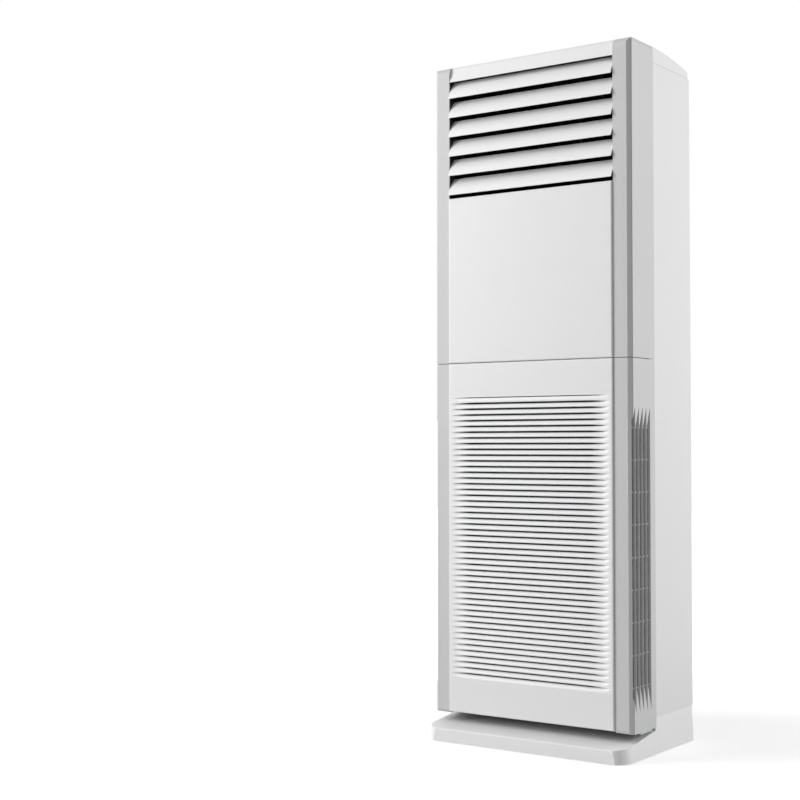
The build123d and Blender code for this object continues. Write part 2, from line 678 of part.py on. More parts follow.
def lower_pillar():
    """Right lower pillar with the upright side intake slots and the hinge hole for the door."""
    head = SEAM - SEAM_GAP / 2
    past = PILLAR_DEPTH + CUT
    view = rounded(block(0, past, PILLAR_FOOT, head), PILLAR_ROUND, (0, PILLAR_FOOT))
    turn = rounded(block(MOULD, past, PILLAR_FOOT + MOULD, head), PILLAR_ROUND - MOULD,
                   (MOULD, PILLAR_FOOT + MOULD)) + block(PILLAR_TURN, past, PILLAR_FOOT, head)
    body = upright(pillar_outside(PILLAR_INNER), PILLAR_FOOT, head)
    body -= upright(pillar_inside(), PILLAR_FOOT, head) & across(turn, 0, HALF)
    last = SIDE_FIRST + (SIDE_SLOTS - 1) * SIDE_PITCH
    inner = HALF - SIDE_THICK
    zone = brick(inner, HALF - MOULD, BAND_Y, last + SIDE_SLOT, SIDE_TIP_LOW, SIDE_TIP_HIGH)
    body += zone
    cutters = [side_cutter(SIDE_FIRST + k * SIDE_PITCH) for k in range(SIDE_SLOTS)]
    body = body.cut(*cutters)
    step = (SIDE_BODY_HIGH - SIDE_BODY_LOW) / (SIDE_RIBS - 1)
    ribs = [brick(inner, inner + SIDE_RIB, BAND_Y, last + SIDE_SLOT, z - SIDE_RIB / 2,
                  z + SIDE_RIB / 2) for z in (SIDE_BODY_LOW + k * step for k in range(SIDE_RIBS))]
    body = body.fuse(*ribs) + pillar_seat(PILLAR_FOOT, head, HINGE_HEIGHT + REBATE)
    body &= across(view, 0, HALF)
    return body - axle(HINGE_DEPTH, HINGE_HEIGHT, PILLAR_INNER - CUT,
                       PILLAR_INNER + REBATE_WALL + CUT, HINGE_PEG + HINGE_PLAY)


# ---- front panels ------------------------------------------------------------------------------
def panel_skin(z0, z1, back):
    """A panel with a rounded front edge, filled in from its face to a depth."""
    skin = brick(-PANEL_HALF, PANEL_HALF, -PANEL_PROUD, back, z0, z1)
    return fillet(skin.faces().sort_by(Axis.Y)[0].edges(), PANEL_ROUND)


def upper_front_panel():
    """Blank panel from the seam up to the louvres, with posts for the receiver board."""
    foot = SEAM + SEAM_GAP / 2
    groove = SILL_HEIGHT - SILL_THICK
    head = groove - SEAM_GAP
    panel = panel_skin(foot, SILL_HEIGHT, PANEL_SEAT)
    panel -= brick(-HALF, HALF, MOULD - SEAM_GAP, PANEL_SEAT, head, SILL_HEIGHT)
    panel -= brick(-HALF, HALF, -PANEL_PROUD, SILL_GROOVE - PANEL_PROUD, groove,
                   groove + SILL_GROOVE)
    panel -= brick(-PANEL_HALF + PANEL_WALL, PANEL_HALF - PANEL_WALL, PANEL_WALL - PANEL_PROUD,
                   PANEL_SEAT, foot + PANEL_WALL, head - PANEL_WALL)
    return panel.fuse(*[spindle(x, z, -PANEL_PROUD + PANEL_WALL, PANEL_SEAT, POST_RADIUS)
                        for x, z in receiver_posts()])


def receiver_posts():
    """Places of the posts behind the upper panel."""
    right = RECEIVER_LEFT + RECEIVER_WIDE - RECEIVER_INSET
    top = RECEIVER_FOOT + RECEIVER_TALL - RECEIVER_INSET
    return [(x, z) for x in (RECEIVER_LEFT + RECEIVER_INSET, right)
            for z in (RECEIVER_FOOT + RECEIVER_INSET, top)]


def receiver_board():
    """Small board with the signal receiver, behind the upper panel."""
    top = RECEIVER_FOOT + RECEIVER_TALL
    board = brick(RECEIVER_LEFT, RECEIVER_LEFT + RECEIVER_WIDE, PANEL_SEAT, PANEL_SEAT + BOARD,
                  RECEIVER_FOOT, top)
    return board + spindle(RECEIVER_LEFT + RECEIVER_WIDE / 2, (RECEIVER_FOOT + top) / 2,
                           PANEL_SEAT - RECEIVER_RISE, PANEL_SEAT, RECEIVER_EYE)


def grille_cutter(z):
    """One slot of the grille over the rib that starts at height z, pointed at both ends."""
    face = -PANEL_PROUD
    near = face - CUT
    back = GRILLE_THICK - PANEL_PROUD + CUT
    top = z + GRILLE_PITCH
    floor = top - GRILLE_SLOT
    side = outline((near, z + GRILLE_LIP), (face, z + GRILLE_LIP), (face + GRILLE_SLANT, floor),
                   (back, floor), (back, top), (near, top))
    middle = (floor + top) / 2
    straight = GRILLE_HALF - GRILLE_TAPER
    view = outline((-GRILLE_HALF, middle), (-straight, z + GRILLE_LIP), (straight, z + GRILLE_LIP),
                   (GRILLE_HALF, middle), (straight, top), (-straight, top))
    return across(side, -GRILLE_HALF, GRILLE_HALF) & through(view, near, back)


def filter_rail():
    """Right channel that guides the filter behind the grille, with a stop at its foot."""
    near = FILTER_DEPTH - RAIL_PLAY - RAIL_WALL
    far = FILTER_DEPTH + FILTER_THICK + RAIL_PLAY + RAIL_WALL
    outer = FILTER_HALF + RAIL_PLAY + RAIL_WALL
    root = GRILLE_THICK - PANEL_PROUD
    inner = outer - RAIL_WALL
    lip = outer - RAIL_LIP
    plan = outline((outer, root), (outer, far), (lip, far), (lip, far - RAIL_WALL),
                   (inner, far - RAIL_WALL), (inner, near + RAIL_WALL), (lip, near + RAIL_WALL),
                   (lip, near), (inner, near), (inner, root))
    rail = upright(plan, FILTER_FOOT, GRILLE_HEAD)
    return rail + brick(lip, outer, near, far, FILTER_FOOT - RAIL_WALL, FILTER_FOOT)


def lower_intake_panel():
    """Intake door: blank margins, louvred slots, stiffeners, filter rails and hinge pegs."""
    head = SEAM - SEAM_GAP / 2
    back = PANEL_SEAT - SIDE_PLAY
    root = GRILLE_THICK - PANEL_PROUD
    inner = PANEL_HALF - PANEL_WALL
    door = panel_skin(DOOR_FOOT, head, back)
    hollow = brick(-inner, inner, PANEL_WALL - PANEL_PROUD, back, DOOR_FOOT + PANEL_WALL,
                   head - PANEL_WALL)
    zone = brick(-inner, inner, -PANEL_PROUD, root, GRILLE_FOOT - GRILLE_LIP,
                 GRILLE_HEAD + GRILLE_LIP)
    door -= hollow - zone
    cutters = [grille_cutter(GRILLE_FOOT + k * GRILLE_PITCH) for k in range(GRILLE_COUNT)]
    door = door.cut(*cutters)
    gap = 2 * GRILLE_HALF / (STIFFENERS + 1)
    webs = [brick(x - STIFFENER_WIDTH / 2, x + STIFFENER_WIDTH / 2, root - WEB_ROOT,
                  root + STIFFENER_DEPTH, GRILLE_FOOT - GRILLE_LIP, GRILLE_HEAD)
            for x in (k * gap - GRILLE_HALF for k in range(1, STIFFENERS + 1))]
    rail = filter_rail()
    peg = axle(HINGE_DEPTH, HINGE_HEIGHT, inner, PILLAR_INNER + REBATE_WALL, HINGE_PEG)
    return door.fuse(*webs, rail, mirror(rail, Plane.YZ), peg, mirror(peg, Plane.YZ))


def filter_frame():
    """Moulded frame of the dust filter with cross bars."""
    back = FILTER_DEPTH + FILTER_THICK
    frame = brick(-FILTER_HALF, FILTER_HALF, FILTER_DEPTH, back, FILTER_FOOT,
                  FILTER_FOOT + FILTER_HEIGHT)
    wide = (2 * FILTER_HALF - 2 * FILTER_BORDER + FILTER_BAR) / FILTER_COLUMNS
    tall = (FILTER_HEIGHT - 2 * FILTER_BORDER + FILTER_BAR) / FILTER_ROWS
    holes = []
    for i in range(FILTER_COLUMNS):
        for j in range(FILTER_ROWS):
            x = i * wide + FILTER_BORDER - FILTER_HALF
            z = j * tall + FILTER_BORDER + FILTER_FOOT
            holes.append(brick(x, x + wide - FILTER_BAR, FILTER_DEPTH, back, z, z + tall - FILTER_BAR))
    return frame.cut(*holes) - filter_net()


def filter_net():
    """Fine net held in the middle of the filter's frame."""
    middle = FILTER_DEPTH + FILTER_THICK / 2
    edge = FILTER_HALF - FILTER_BORDER / 2
    return brick(-edge, edge, middle - FILTER_SHEET / 2, middle + FILTER_SHEET / 2,
                 FILTER_FOOT + FILTER_BORDER / 2, FILTER_FOOT + FILTER_HEIGHT - FILTER_BORDER / 2)


def middle_rail():
    """Steel rail behind the seam that ties the pillars together."""
    d = PANEL_SEAT + REBATE_WALL
    half = PILLAR_INNER + REBATE_WALL
    section = folded(SHEET, (d + FLANGE, SEAM + FLANGE / 2), (d, SEAM + FLANGE / 2),
                     (d, SEAM - FLANGE / 2), (d + FLANGE, SEAM - FLANGE / 2))
    return across(section, -half, half)


# ---- outlet ------------------------------------------------------------------------------------
def louvre_height(index):
    """Height of a louvre's pivot, counted from the top."""
    return LOUVRE_TOP - index * LOUVRE_PITCH + LOUVRE_RISE


def outlet_frame():
    """Moulded frame round the louvres and the vanes, with their pivot holes."""
    foot = SILL_HEIGHT - SILL_THICK
    cheek = CHEEK + FRAME_WALL
    frame = brick(-cheek, cheek, MOULD, FRAME_BACK, foot, FRAME_HEAD)
    frame -= brick(-CHEEK, CHEEK, 0, FRAME_BACK, SILL_HEIGHT, FRAME_TOP)
    frame -= brick(-CHEEK, CHEEK, MOULD + FRAME_WALL, FRAME_BACK, foot, SILL_HEIGHT - FRAME_WALL)
    above = FRAME_HEAD + CUT
    frame -= across(outline((-CUT, FASCIA_FOOT), fascia_inside(FASCIA_FOOT), fascia_inside(above),
                            (-CUT, above)), -cheek, cheek)
    bore = PIVOT_RADIUS + PIVOT_PLAY
    holes = [axle(LOUVRE_DEPTH, louvre_height(k), -cheek, cheek, bore) for k in range(LOUVRES)]
    holes += [rod(vane_x(k), VANE_DEPTH, foot, FRAME_HEAD, bore) for k in range(VANES)]
    return frame.cut(*holes)


def louvre_section():
    """Section of a louvre: a shallow arc with rounded edges, leaning back."""
    half = LOUVRE_CHORD / 2
    arc = ThreePointArc((0, -half), (-LOUVRE_CAMBER, 0), (0, half))
    strip = make_face(offset(arc, amount=LOUVRE_THICK / 2, side=Side.BOTH, closed=True))
    return Pos(LOUVRE_DEPTH, 0) * Rot(0, 0, -LOUVRE_LEAN) * strip


def louvre(z):
    """One louvre blade with its stub axles and, outside the right cheek, its crank."""
    end = CHEEK - LOUVRE_END
    blade = across(Pos(0, z) * louvre_section(), -end, end)
    root = end - PIVOT_ROOT
    stub = axle(LOUVRE_DEPTH, z, -CHEEK - FRAME_WALL - PIVOT_TAIL, -root, PIVOT_RADIUS)
    drive = axle(LOUVRE_DEPTH, z, root, CRANK_X + CRANK_THICK, PIVOT_RADIUS)
    crank = SlotCenterToCenter(CRANK_ARM, 2 * CRANK_HALF)
    arm = across(Pos(LOUVRE_DEPTH + CRANK_ARM / 2, z) * crank, CRANK_X, CRANK_X + CRANK_THICK)
    pin = axle(LOUVRE_DEPTH + CRANK_ARM, z, CRANK_X + CRANK_THICK,
               LINK_X + LINK_THICK + SIDE_PLAY, PIN_RADIUS)
    return blade.fuse(stub, drive, arm, pin)


def louvre_link():
    """Upright bar that joins the louvres' cranks."""
    d = LOUVRE_DEPTH + CRANK_ARM
    top = louvre_height(0)
    low = louvre_height(LOUVRES - 1)
    bar = Pos(d, (top + low) / 2) * SlotCenterToCenter(top - low, 2 * LINK_HALF, rotation=90)
    bar -= [Pos(d, louvre_height(k)) * Circle(PIN_RADIUS + PIN_PLAY) for k in range(LOUVRES)]
    return across(bar, LINK_X, LINK_X + LINK_THICK)


def vane_x(index):
    """Place of a vane across the outlet."""
    return (index - (VANES - 1) / 2) * VANE_PITCH


def vane(x):
    """One upright vane with its pivots and, over the frame's head, its crank."""
    low = SILL_HEIGHT + VANE_END
    high = FRAME_TOP - VANE_END
    crank = FRAME_HEAD + SIDE_PLAY
    plate = Pos(x, VANE_DEPTH) * SlotOverall(VANE_CHORD, VANE_THICK, rotation=90)
    body = upright(plate, low, high)
    top = crank + CRANK_THICK
    axis = [rod(x, VANE_DEPTH, SILL_HEIGHT - FRAME_WALL - PIVOT_TAIL, low + PIVOT_ROOT, PIVOT_RADIUS),
            rod(x, VANE_DEPTH, high - PIVOT_ROOT, top, PIVOT_RADIUS)]
    slot = SlotCenterToCenter(VANE_ARM, 2 * CRANK_HALF, rotation=90)
    arm = upright(Pos(x, VANE_DEPTH + VANE_ARM / 2) * slot, crank, top)
    pin = rod(x, VANE_DEPTH + VANE_ARM, top, top + LINK_THICK + 2 * SIDE_PLAY, PIN_RADIUS)
    return body.fuse(*axis, arm, pin)


def vane_link():
    """Bar that joins the vanes' cranks."""
    d = VANE_DEPTH + VANE_ARM
    bar = Pos(0, d) * SlotCenterToCenter((VANES - 1) * VANE_PITCH, 2 * LINK_HALF)
    bar -= [Pos(vane_x(k), d) * Circle(PIN_RADIUS + PIN_PLAY) for k in range(VANES)]
    z = FRAME_HEAD + SIDE_PLAY + CRANK_THICK + SIDE_PLAY
    return upright(bar, z, z + LINK_THICK)


def stepper():
    """Small stepping motor under the plane z = 0: two ears and a socket off its middle."""
    middle = Pos(0, MOTOR_OFFSET)
    case = extrude(middle * Circle(MOTOR_RADIUS), -MOTOR_LENGTH)
    ears = extrude(middle * SlotCenterToCenter(2 * MOTOR_EAR, 2 * MOTOR_EAR_RADIUS),
                   -MOTOR_EAR_THICK)
    boss = extrude(Circle(PIVOT_RADIUS + MOTOR_EAR_THICK + PIVOT_PLAY), -MOTOR_LENGTH / 2)
    return case + ears + boss - extrude(Circle(PIVOT_RADIUS + PIVOT_PLAY), -MOTOR_LENGTH / 2)


def swing_motors():
    """Two stepping motors: on the left cheek for the louvres, under the sill for the vanes."""
    cheek = Pos(-CHEEK - FRAME_WALL, FRONT + LOUVRE_DEPTH, louvre_height(LOUVRES // 2))
    sill = Pos(vane_x(VANES // 2), FRONT + VANE_DEPTH, SILL_HEIGHT - FRAME_WALL)
    return Compound([cheek * Rot(0, 90, 0) * stepper(), sill * stepper()])


def duct_profile(grow, front, foot, sill):
    """Side view of the duct: up along the coil's plate, then a wide bend forward."""
    back = DUCT_BACK + grow
    head = FRAME_TOP + grow
    bend = DUCT_BEND + grow
    start = outline_path((FRAME_BACK, sill), (front, sill), (front, foot), (back, foot),
                         (back, head - bend))
    turn = CenterArc((back - bend, head - bend), bend, 0, 90)
    roof = Polyline(turn @ 1, (FRAME_BACK, head), (FRAME_BACK, sill))
    return make_face([*start.edges(), turn, *roof.edges()])


def outline_path(*points):
    """An open line; a point that repeats the one before it is passed over."""
    return Polyline(*[b for a, b in zip(((None, None),) + points, points) if a != b])


def outlet_duct():
    """Foam duct that turns the air forward into the outlet frame."""
    wide = CHEEK + FOAM
    plate = FRAME_BACK + FOAM
    outside = duct_profile(FOAM, FRAME_BACK, PLATE_HEIGHT, PLATE_HEIGHT)
    inside = duct_profile(0, plate, PLATE_HEIGHT, SILL_HEIGHT)
    return across(outside, -wide, wide) - across(inside, -CHEEK, CHEEK)


# ---- fan ---------------------------------------------------------------------------------------
def scroll_face(inset):
    """Side outline of the scroll: a spiral of three quarter turns into the upright discharge."""
    x = FAN_X - SCROLL_STEP / 2
    z = FAN_Z - SCROLL_STEP / 2
    start = SCROLL_START - inset
    begin = degrees(acos(inset / start))
    first = CenterArc((x, z), start, begin, 180 - begin)
    second = CenterArc((x + SCROLL_STEP, z), start + SCROLL_STEP, 180, 90)
    third = CenterArc((x + SCROLL_STEP, z + SCROLL_STEP), start + 2 * SCROLL_STEP, 270, 90)
    rise = Polyline(third @ 1, ((third @ 1).X, DECK), ((first @ 0).X, DECK), first @ 0)
    face = make_face([first, second, third, *rise.edges()])
    return rounded(face, TONGUE_ROUND + inset, first @ 0)


def mouth_sides():
    """Left and right edge of the scroll's discharge."""
    return FAN_X - SCROLL_STEP / 2, FAN_X + 2.5 * SCROLL_STEP + SCROLL_START


def scroll_housing():
    """Sheet steel scroll: spiral wrap, tongue wall, back plate and flanges under the deck."""
    shell = through(scroll_face(0), SCROLL_FRONT, SCROLL_BACK + SHEET)
    shell -= through(scroll_face(SHEET), SCROLL_FRONT, SCROLL_BACK)
    left, right = mouth_sides()
    flanges = [brick(x, x + SCROLL_LIP, SCROLL_FRONT, SCROLL_BACK + SHEET, DECK - SHEET, DECK)
               for x in (left - SCROLL_LIP, right)]
    return shell.fuse(*flanges)


def scroll_front():
    """Front plate of the scroll with its pressed bell mouth."""
    face = SCROLL_FRONT - SHEET
    rim = INLET_RADIUS + BELL_ROUND
    turn = face + BELL_ROUND
    plate = through(scroll_face(0), face, SCROLL_FRONT) - spindle(FAN_X, FAN_Z, face, SCROLL_FRONT, rim)
    flare = Pos(rim, turn) * (Circle(BELL_ROUND) - Circle(BELL_ROUND - SHEET))
    flare &= block(INLET_RADIUS, rim, face, turn)
    throat = block(INLET_RADIUS, INLET_RADIUS + SHEET, turn, FAN_FRONT + BELL_REACH)
    return plate + turned(flare + throat, FAN_X, FAN_Z)


def blade_section():
    """A forward curved blade, drawn as (x, height) about the wheel's axis."""
    sweep_angle = radians(FAN_SWEEP)
    tip = (FAN_RADIUS * cos(sweep_angle), FAN_RADIUS * sin(sweep_angle))
    curve = RadiusArc((FAN_INNER, 0), tip, FAN_RADIUS - FAN_INNER)
    return make_face(offset(curve, amount=FAN_BLADE, side=Side.RIGHT, closed=True,
                            kind=Kind.INTERSECTION))


def fan_blades():
    """Blades of the squirrel cage wheel and the ring that ties them at the front."""
    ring = block(FAN_INNER, FAN_RADIUS + FAN_PLATE, FAN_FRONT, FAN_FRONT + FAN_PLATE)
    blade = through(blade_section(), FAN_FRONT + FAN_PLATE, FAN_BACK - FAN_PLATE)
    cage = [Pos(FAN_X, 0, FAN_Z) * Rot(0, 360 * k / FAN_BLADES, 0) * blade for k in range(FAN_BLADES)]
    return Compound([turned(ring, FAN_X, FAN_Z), *cage])


def fan_wheel():
    """Back plate of the wheel, cupped forward round the motor, with its hub."""
    disc = FAN_BACK - FAN_PLATE
    nose = CUP_FRONT + FAN_PLATE
    cup = outline((HUB_RADIUS, CUP_FRONT), (CUP_RADIUS, CUP_FRONT), (CUP_RADIUS + FAN_PLATE, disc),
                  (FAN_RADIUS, disc), (FAN_RADIUS, FAN_BACK), (CUP_RADIUS, FAN_BACK),
                  (CUP_RADIUS - FAN_PLATE, nose), (HUB_RADIUS, nose))
    hub = block(SHAFT_RADIUS, HUB_RADIUS, HUB_FRONT, nose)
    return turned(cup, FAN_X, FAN_Z) + turned(hub, FAN_X, FAN_Z)


def motor_shaft():
    """Fan motor's shaft with its clamping nut in front of the hub."""
    nut = Pos(FAN_X, FAN_Z) * RegularPolygon(SHAFT_NUT, 6)
    shaft = spindle(FAN_X, FAN_Z, SHAFT_FRONT, FAN_BACK - SHAFT_FREE, SHAFT_RADIUS)
    return shaft + through(nut, HUB_FRONT - SHAFT_NUT_LENGTH, HUB_FRONT)


def fan_motor():
    """Fan motor: a can inside the cup of the wheel, with four ears behind it."""
    shoulder = DRIVE_RADIUS - DRIVE_CHAMFER
    can = outline((0, DRIVE_FRONT), (shoulder, DRIVE_FRONT),
                  (DRIVE_RADIUS, DRIVE_FRONT + DRIVE_CHAMFER), (DRIVE_RADIUS, EAR_BACK), (0, EAR_BACK))
    cross = Rectangle(2 * EAR_REACH, 2 * EAR_RADIUS) + Rectangle(2 * EAR_RADIUS, 2 * EAR_REACH)
    eyes = [spindle(x, z, EAR_FRONT, EAR_BACK, EAR_RADIUS) for x, z in ear_places()]
    body = turned(can, FAN_X, FAN_Z).fuse(through(Pos(FAN_X, FAN_Z) * cross, EAR_FRONT, EAR_BACK), *eyes)
    return body - spindle(FAN_X, FAN_Z, DRIVE_FRONT, FAN_BACK - BORE_END, SHAFT_RADIUS + SHAFT_PLAY)


def ear_places():
    """Centres of the motor's four ears."""
    quarters = [radians(90 * k) for k in range(4)]
    return [(FAN_X + EAR_REACH * cos(a), FAN_Z + EAR_REACH * sin(a)) for a in quarters]


def motor_grommets():
    """Rubber mounts between the motor's ears and the bracket."""
    return Compound([spindle(x, z, EAR_BACK, BRACKET_FRONT, GROMMET_RADIUS) for x, z in ear_places()])


def motor_bracket():
    """Pressed ring that carries the motor on the back plate."""
    outer = Circle(EAR_REACH + 2 * EAR_RADIUS)
    ring = Pos(FAN_X, FAN_Z) * (outer - Circle(EAR_REACH - 2 * EAR_RADIUS))
    rim = Pos(FAN_X, FAN_Z) * (outer - Circle(EAR_REACH + 2 * EAR_RADIUS - SHEET))
    return through(ring, BRACKET_FRONT, BRACKET_FRONT + SHEET) + through(rim, BRACKET_FRONT, SCROLL_BACK)


def blower_deck():
    """Steel plate between the fan chamber and the coil, with the scroll's mouth and pipe holes."""
    front = SIDE_FRONT + SHEET
    back = CASE_DEPTH - 2 * SHEET
    section = folded(SHEET, (CASE_INNER, DECK - FLANGE), (CASE_INNER, DECK + SHEET),
                     (-CASE_INNER, DECK + SHEET), (-CASE_INNER, DECK - FLANGE))
    left, right = mouth_sides()
    mouth = brick(left + SHEET, right - SHEET, SCROLL_FRONT + SHEET, SCROLL_BACK - SHEET,
                  DECK - CUT, DECK + SHEET + CUT)
    drops = [(PIPE_X, *drop) for drop in pipe_drops()] + [(-PIPE_X, hose_depth(), HOSE_RADIUS)]
    holes = [rod(x, d, DECK - CUT, DECK + SHEET + CUT, radius + PIPE_HOLE) for x, d, radius in drops]
    return through(section, front, back).cut(mouth, *holes)


# ---- coil --------------------------------------------------------------------------------------
def on_slope(shape):
    """Lay a shape drawn along the coil into its leaning place."""
    foot = Pos(0, FRONT + COIL_FOOT_DEPTH, COIL_FOOT_HEIGHT)
    return foot * Rot(-degrees(COIL_LEAN), 0, 0) * shape


def along(x0, x1, y0, y1, z0, z1):
    """A rectangular solid in the coil's own directions."""
    return Pos((x0 + x1) / 2, (y0 + y1) / 2, (z0 + z1) / 2) * Box(x1 - x0, y1 - y0, z1 - z0)


def tube_rise(index):
    """Distance of a tube from the coil's foot."""
    return COIL_LENGTH * (index + 0.5) / TUBES


def lying(z, x0, x1, radius):
    """A hole across the coil's plates at a distance from the coil's foot."""
    return Pos(x0, 0, z) * Rot(0, 90, 0) * extrude(Circle(radius), x1 - x0)


def coil_fins():
    """Fin pack: upright plates, pressed on the tubes."""
    half = COIL_THICK / 2
    gap = (2 * COIL_HALF - FIN_THICK) / (FINS - 1)
    return on_slope(Compound([along(x, x + FIN_THICK, -half, half, 0, COIL_LENGTH)
                              for x in (k * gap - COIL_HALF for k in range(FINS))]))


def coil_tubes():
    """Copper tubes of the coil: hairpins from the left, joined by bends on the right."""
    out = COIL_HALF + SHEET + TUBE_STUB
    pieces = []
    for k in range(0, TUBES, 2):
        low, high = tube_rise(k), tube_rise(k + 1)
        pieces.append(tube_bend(low, high, -1, 2 * out))
    for k in range(1, TUBES - 1, 2):
        pieces.append(tube_bend(tube_rise(k), tube_rise(k + 1), 1, 0))
    return on_slope(Compound(pieces))


def tube_bend(low, high, side, straight):
    """A U of tube on one side of the coil; the legs of a hairpin run on through the pack."""
    out = side * (COIL_HALF + SHEET + TUBE_STUB)
    start = out - side * straight
    path = ThreePointArc((out, 0, low), (out + side * (high - low) / 2, 0, (low + high) / 2), (out, 0, high))
    if straight:
        path = Wire([Line((start, 0, low), (out, 0, low)), path, Line((out, 0, high), (start, 0, high))])
    return sweep(Plane(origin=(start, 0, low), z_dir=(side, 0, 0)) * Circle(TUBE_RADIUS), path=path)


def coil_plates():
    """Folded end plates that hold the tubes and hang the coil on the side panels."""
    half = COIL_THICK / 2 + COIL_RIM
    plate = along(COIL_HALF, COIL_HALF + SHEET, -half, half, -COIL_RIM, COIL_LENGTH + COIL_RIM)
    shelf = along(COIL_HALF + SHEET, CASE_INNER, half / 2, half, COIL_LENGTH / 2 - SHEET / 2,
                  COIL_LENGTH / 2 + SHEET / 2)
    holes = [lying(tube_rise(k), COIL_HALF, COIL_HALF + SHEET, TUBE_RADIUS) for k in range(TUBES)]
    plate = (plate + shelf).cut(*holes)
    return on_slope(Compound([plate, mirror(plate, Plane.YZ)]))


def coil_front_plate():
    """Steel plate in front of the coil, standing on the deck against the side panels' flanges."""
    return brick(-CASE_INNER, CASE_INNER, SIDE_FRONT - SHEET, SIDE_FRONT, DECK - FLANGE, PLATE_HEIGHT)


def hose_depth():
    """Depth of the drain hose."""
    return (TRAY_FRONT + TRAY_BACK) / 2


def drain_tray():
    """Moulded tray that catches the water under the coil's foot, with a spout on the left."""
    half = CASE_INNER - TRAY_PLAY
    floor = DECK + SHEET
    rim = floor + TRAY_HEIGHT
    low = DECK - SPOUT
    tray = brick(-half, half, TRAY_FRONT, TRAY_BACK, floor, rim)
    tray -= brick(-half + TRAY_WALL, half - TRAY_WALL, TRAY_FRONT + TRAY_WALL, TRAY_BACK - TRAY_WALL,
                  floor + TRAY_WALL, rim)
    tray += rod(-PIPE_X, hose_depth(), low, floor + TRAY_WALL, HOSE_BORE)
    return tray - rod(-PIPE_X, hose_depth(), low, floor + TRAY_WALL, HOSE_BORE - SPOUT_WALL)


def drain_hose():
    """Hose from the tray's spout down to the back of the base."""
    ring = Circle(HOSE_RADIUS) - Circle(HOSE_BORE)
    return Pos(-PIPE_X, FRONT + hose_depth(), HOSE_END) * extrude(ring, DECK - HOSE_END - SHEET)


def coil_end(index):
    """Right end of one of the coil's tubes, as a point."""
    rise = tube_rise(index)
    return (COIL_HALF + SHEET + TUBE_STUB, FRONT + COIL_FOOT_DEPTH + rise * sin(COIL_LEAN),
            COIL_FOOT_HEIGHT + rise * cos(COIL_LEAN))


def piped(radius, *route):
    """A copper pipe along a route that starts sideways out of the coil."""
    path = FilletPolyline(*route, radius=2 * radius)
    return sweep(Plane(origin=route[0], z_dir=(1, 0, 0)) * Circle(radius), path=path)


def gas_pipe():
    """Wide pipe from the coil's top tube straight down the right side."""
    x, y, z = coil_end(TUBES - 1)
    return piped(GAS_RADIUS, (x, y, z), (PIPE_X, y, z), (PIPE_X, y, PIPE_END))


def liquid_pipe():
    """Narrow pipe from the coil's lowest tube back over the tray, then down."""
    x, y, z = coil_end(0)
    back = FRONT + LIQUID_DEPTH
    return piped(LIQUID_RADIUS, (x, y, z), (PIPE_X, y, z), (PIPE_X, back, z), (PIPE_X, back, PIPE_END))


def pipe_drops():
    """Depth and radius of the two upright pipes."""
    return (coil_end(TUBES - 1)[1] - FRONT, GAS_RADIUS), (LIQUID_DEPTH, LIQUID_RADIUS)


def flare_nuts():
    """Hexagon nuts at the ends of the two pipes."""
    nuts = []
    for depth, radius in pipe_drops():
        nut = extrude(RegularPolygon(radius + NUT_WALL, 6), -NUT_LENGTH)
        nuts.append(Pos(PIPE_X, FRONT + depth, PIPE_END) * nut)
    return Compound(nuts)


# ---- electrics ---------------------------------------------------------------------------------
def electrical_box():
    """Steel tray for the controls on the coil's front plate."""
    back = SIDE_FRONT - SHEET
    tray = brick(BOX_LEFT, BOX_RIGHT, BOX_FRONT, back, BOX_FOOT, BOX_HEAD)
    return tray - brick(BOX_LEFT + BOX_SHEET, BOX_RIGHT - BOX_SHEET, BOX_FRONT, BOARD_BACK,
                        BOX_FOOT + BOX_SHEET, BOX_HEAD - BOX_SHEET)


def electrical_lid():
    """Lid of the controls' tray, folded over its edges."""
    back = BOX_FRONT + LID_LAP
    grow = LID_PLAY + BOX_SHEET
    lid = brick(BOX_LEFT - grow, BOX_RIGHT + grow, BOX_FRONT - BOX_SHEET, back, BOX_FOOT - grow,
                BOX_HEAD + grow)
    return lid - brick(BOX_LEFT - LID_PLAY, BOX_RIGHT + LID_PLAY, BOX_FRONT, back,
                       BOX_FOOT - LID_PLAY, BOX_HEAD + LID_PLAY)


def control_board():
    """Control board on its posts, with its relays, choke and capacitor."""
    x0, x1 = BOX_LEFT + BOARD_INSET, BOX_RIGHT - BOARD_INSET
    z0, z1 = BOARD_FOOT, BOX_HEAD - BOARD_INSET
    rear = BOARD_BACK - STAND_OFF
    face = rear - BOARD
    posts = [spindle(x, z, rear, BOARD_BACK, POST_RADIUS) for x in (x0 + POST_INSET, x1 - POST_INSET)
             for z in (z0 + POST_INSET, z1 - POST_INSET)]
    relays = [brick(x, x + RELAY, face - RELAY_RISE, face, z0 + RELAY, z0 + 2 * RELAY)
              for x in (x0 + RELAY + k * RELAY_PITCH for k in range(RELAYS))]
    choke = brick(x0 + RELAY, x0 + RELAY + CHOKE_WIDE, face - CHOKE_RISE, face, CHOKE_FOOT,
                  CHOKE_FOOT + CHOKE_TALL)
    can = spindle(BOX_RIGHT - CAPACITOR_SIDE, CHOKE_FOOT + CHOKE_TALL / 2, face - CHOKE_RISE, face,
                  CAPACITOR_RADIUS)
    return brick(x0, x1, face, rear, z0, z1).fuse(*posts, *relays, choke, can)


def terminal_block():
    """Row of screw terminals under the control board."""
    x0 = BOX_LEFT + BOARD_INSET
    face = BOARD_BACK - TERMINAL_RISE
    top = TERMINAL_FOOT + TERMINAL_TALL
    body = brick(x0, x0 + TERMINALS * TERMINAL_PITCH, face, BOARD_BACK, TERMINAL_FOOT, top)
    middle = (TERMINAL_FOOT + top) / 2
    wells = [spindle(x0 + (k + 0.5) * TERMINAL_PITCH, middle, face, face + WELL_DEPTH, TERMINAL_WELL)
             for k in range(TERMINALS)]
    return body.cut(*wells)


